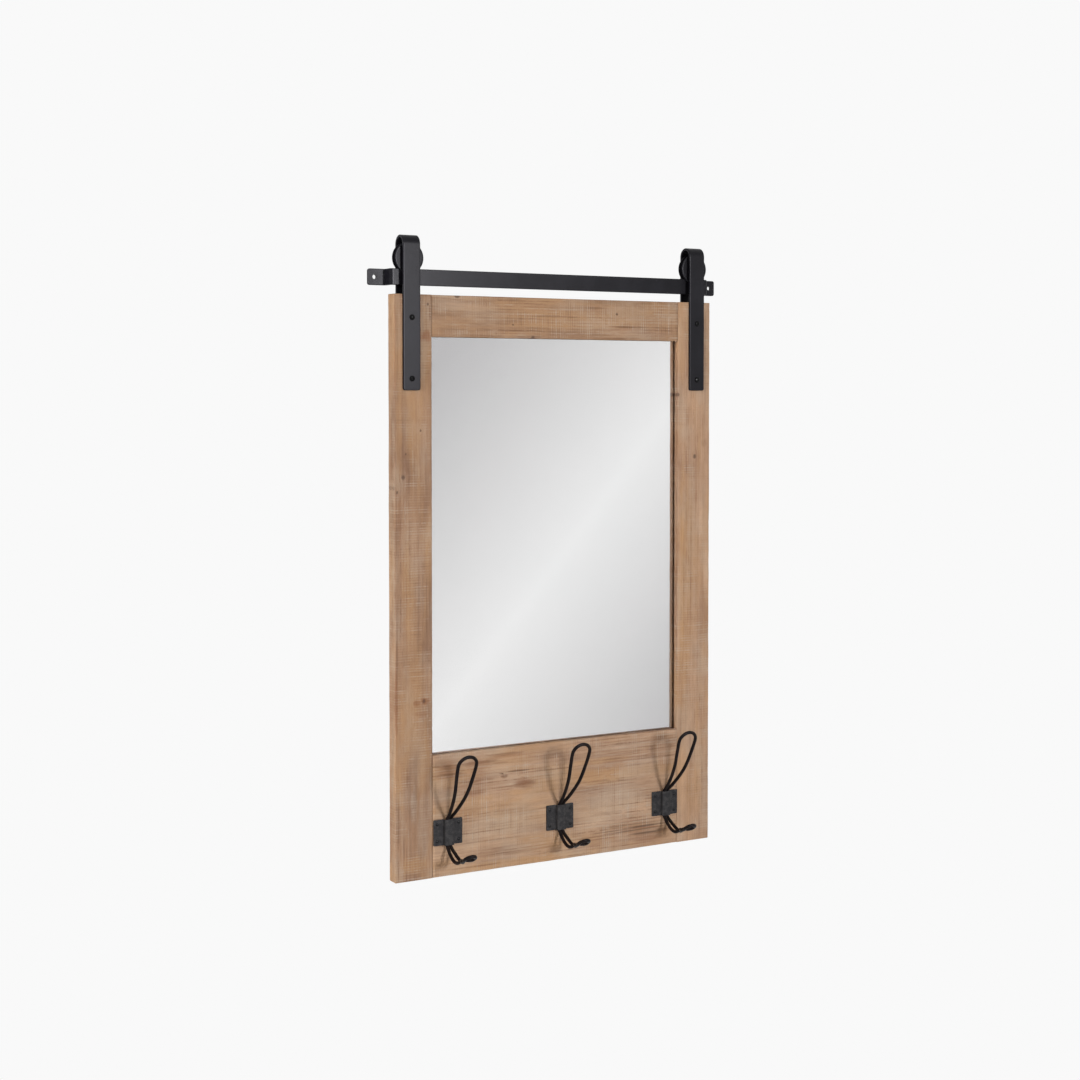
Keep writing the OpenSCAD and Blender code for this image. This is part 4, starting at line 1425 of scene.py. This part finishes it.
def lamp(name, azimuth, elevation, distance, size, level):
    """Disc lamp aimed at the object. level is the light it gives a surface that faces it."""
    data = bpy.data.lights.new(name, "AREA")
    data.shape = "DISK"
    data.size = size
    data.energy = level * LAMP_FACTOR * distance ** 2
    made = bpy.data.objects.new(name, data)
    a, e = math.radians(azimuth), math.radians(elevation)
    towards = Vector((math.sin(a) * math.cos(e), -math.cos(a) * math.cos(e), math.sin(e)))
    made.location = OBJECT_MIDDLE + towards * distance
    made.rotation_euler = (-towards).to_track_quat("-Z", "Y").to_euler()
    made.visible_transmission = False
    bpy.context.scene.collection.objects.link(made)
    print(f"{name}: {data.energy:.0f} W")
    return made


lamp("key_lamp", azimuth=8, elevation=13, distance=4.0, size=0.75, level=0.51)
left_lamp = lamp("left_lamp", azimuth=-80, elevation=10, distance=3.5, size=1.2, level=0.80)
left_lamp.visible_glossy = False
sheen_lamp = lamp("sheen_lamp", azimuth=5, elevation=9, distance=4.0, size=0.5, level=1.42)
sheen_lamp.visible_diffuse = False
sheen_lamp.data.color = (0.94, 0.92, 1.0)

# %% World
AMBIENT = 0.24
BACKDROP = shade(249, 249, 249)    # the plain background of the photograph


def seen_directly(graph):
    """1 for rays from the camera, from gloss and through glass, and 0 for the rest."""
    camera_ray, gloss_ray, glass_ray = (
        graph.add("ShaderNodeLightPath", output=f"Is {kind} Ray")
        for kind in ("Camera", "Glossy", "Transmission"))
    return graph.most(graph.most(camera_ray, gloss_ray), glass_ray)


world = bpy.data.worlds.new("studio")
world.use_nodes = True
bpy.context.scene.world = world
graph = Graph(world.node_tree, world.node_tree.nodes["Background"])
graph.give({"Strength": 1.0, "Color": graph.mix(
    seen_directly(graph), (AMBIENT, AMBIENT, AMBIENT, 1.0), BACKDROP)})

# %% Floor
FLOOR_DROP, FLOOR_HALF = 1.5, 14
SHADOW_MIDDLE = (0, 0.4, 0)        # moves the zone with real shadows 0.4 m to the front
NEAR, FAR = 0.5, 1.15              # the backdrop takes over between these distances


def floor_material():
    material, graph, place = new_material("pale_floor")
    flat = graph.vector("MULTIPLY", graph.vector("ADD", place, SHADOW_MIDDLE), (1, 1, 0))
    away = graph.step(graph.length(flat), NEAR, FAR)
    glow = seen_directly(graph) * (away * 0.5 + 0.5)
    graph.give({"Base Color": shade(244, 244, 244), "Roughness": 0.9, "Specular IOR Level": 0.0})
    glowing = graph.add("ShaderNodeEmission", {"Color": BACKDROP, "Strength": 1.0})
    mixed = graph.add("ShaderNodeMixShader", {
        0: glow, 1: graph.signals(graph.out)["BSDF"], 2: glowing})
    graph.set(material.node_tree.nodes["Material Output"], {"Surface": mixed})
    return material


floor = mesh_object("floor", [(x * FLOOR_HALF, y * FLOOR_HALF, -FLOOR_DROP) for x, y in (
    (-1, -1), (1, -1), (1, 1), (-1, 1))], [(0, 1, 2, 3)])
floor.data.materials.append(floor_material())

bpy.context.scene.view_settings.view_transform = "Standard"
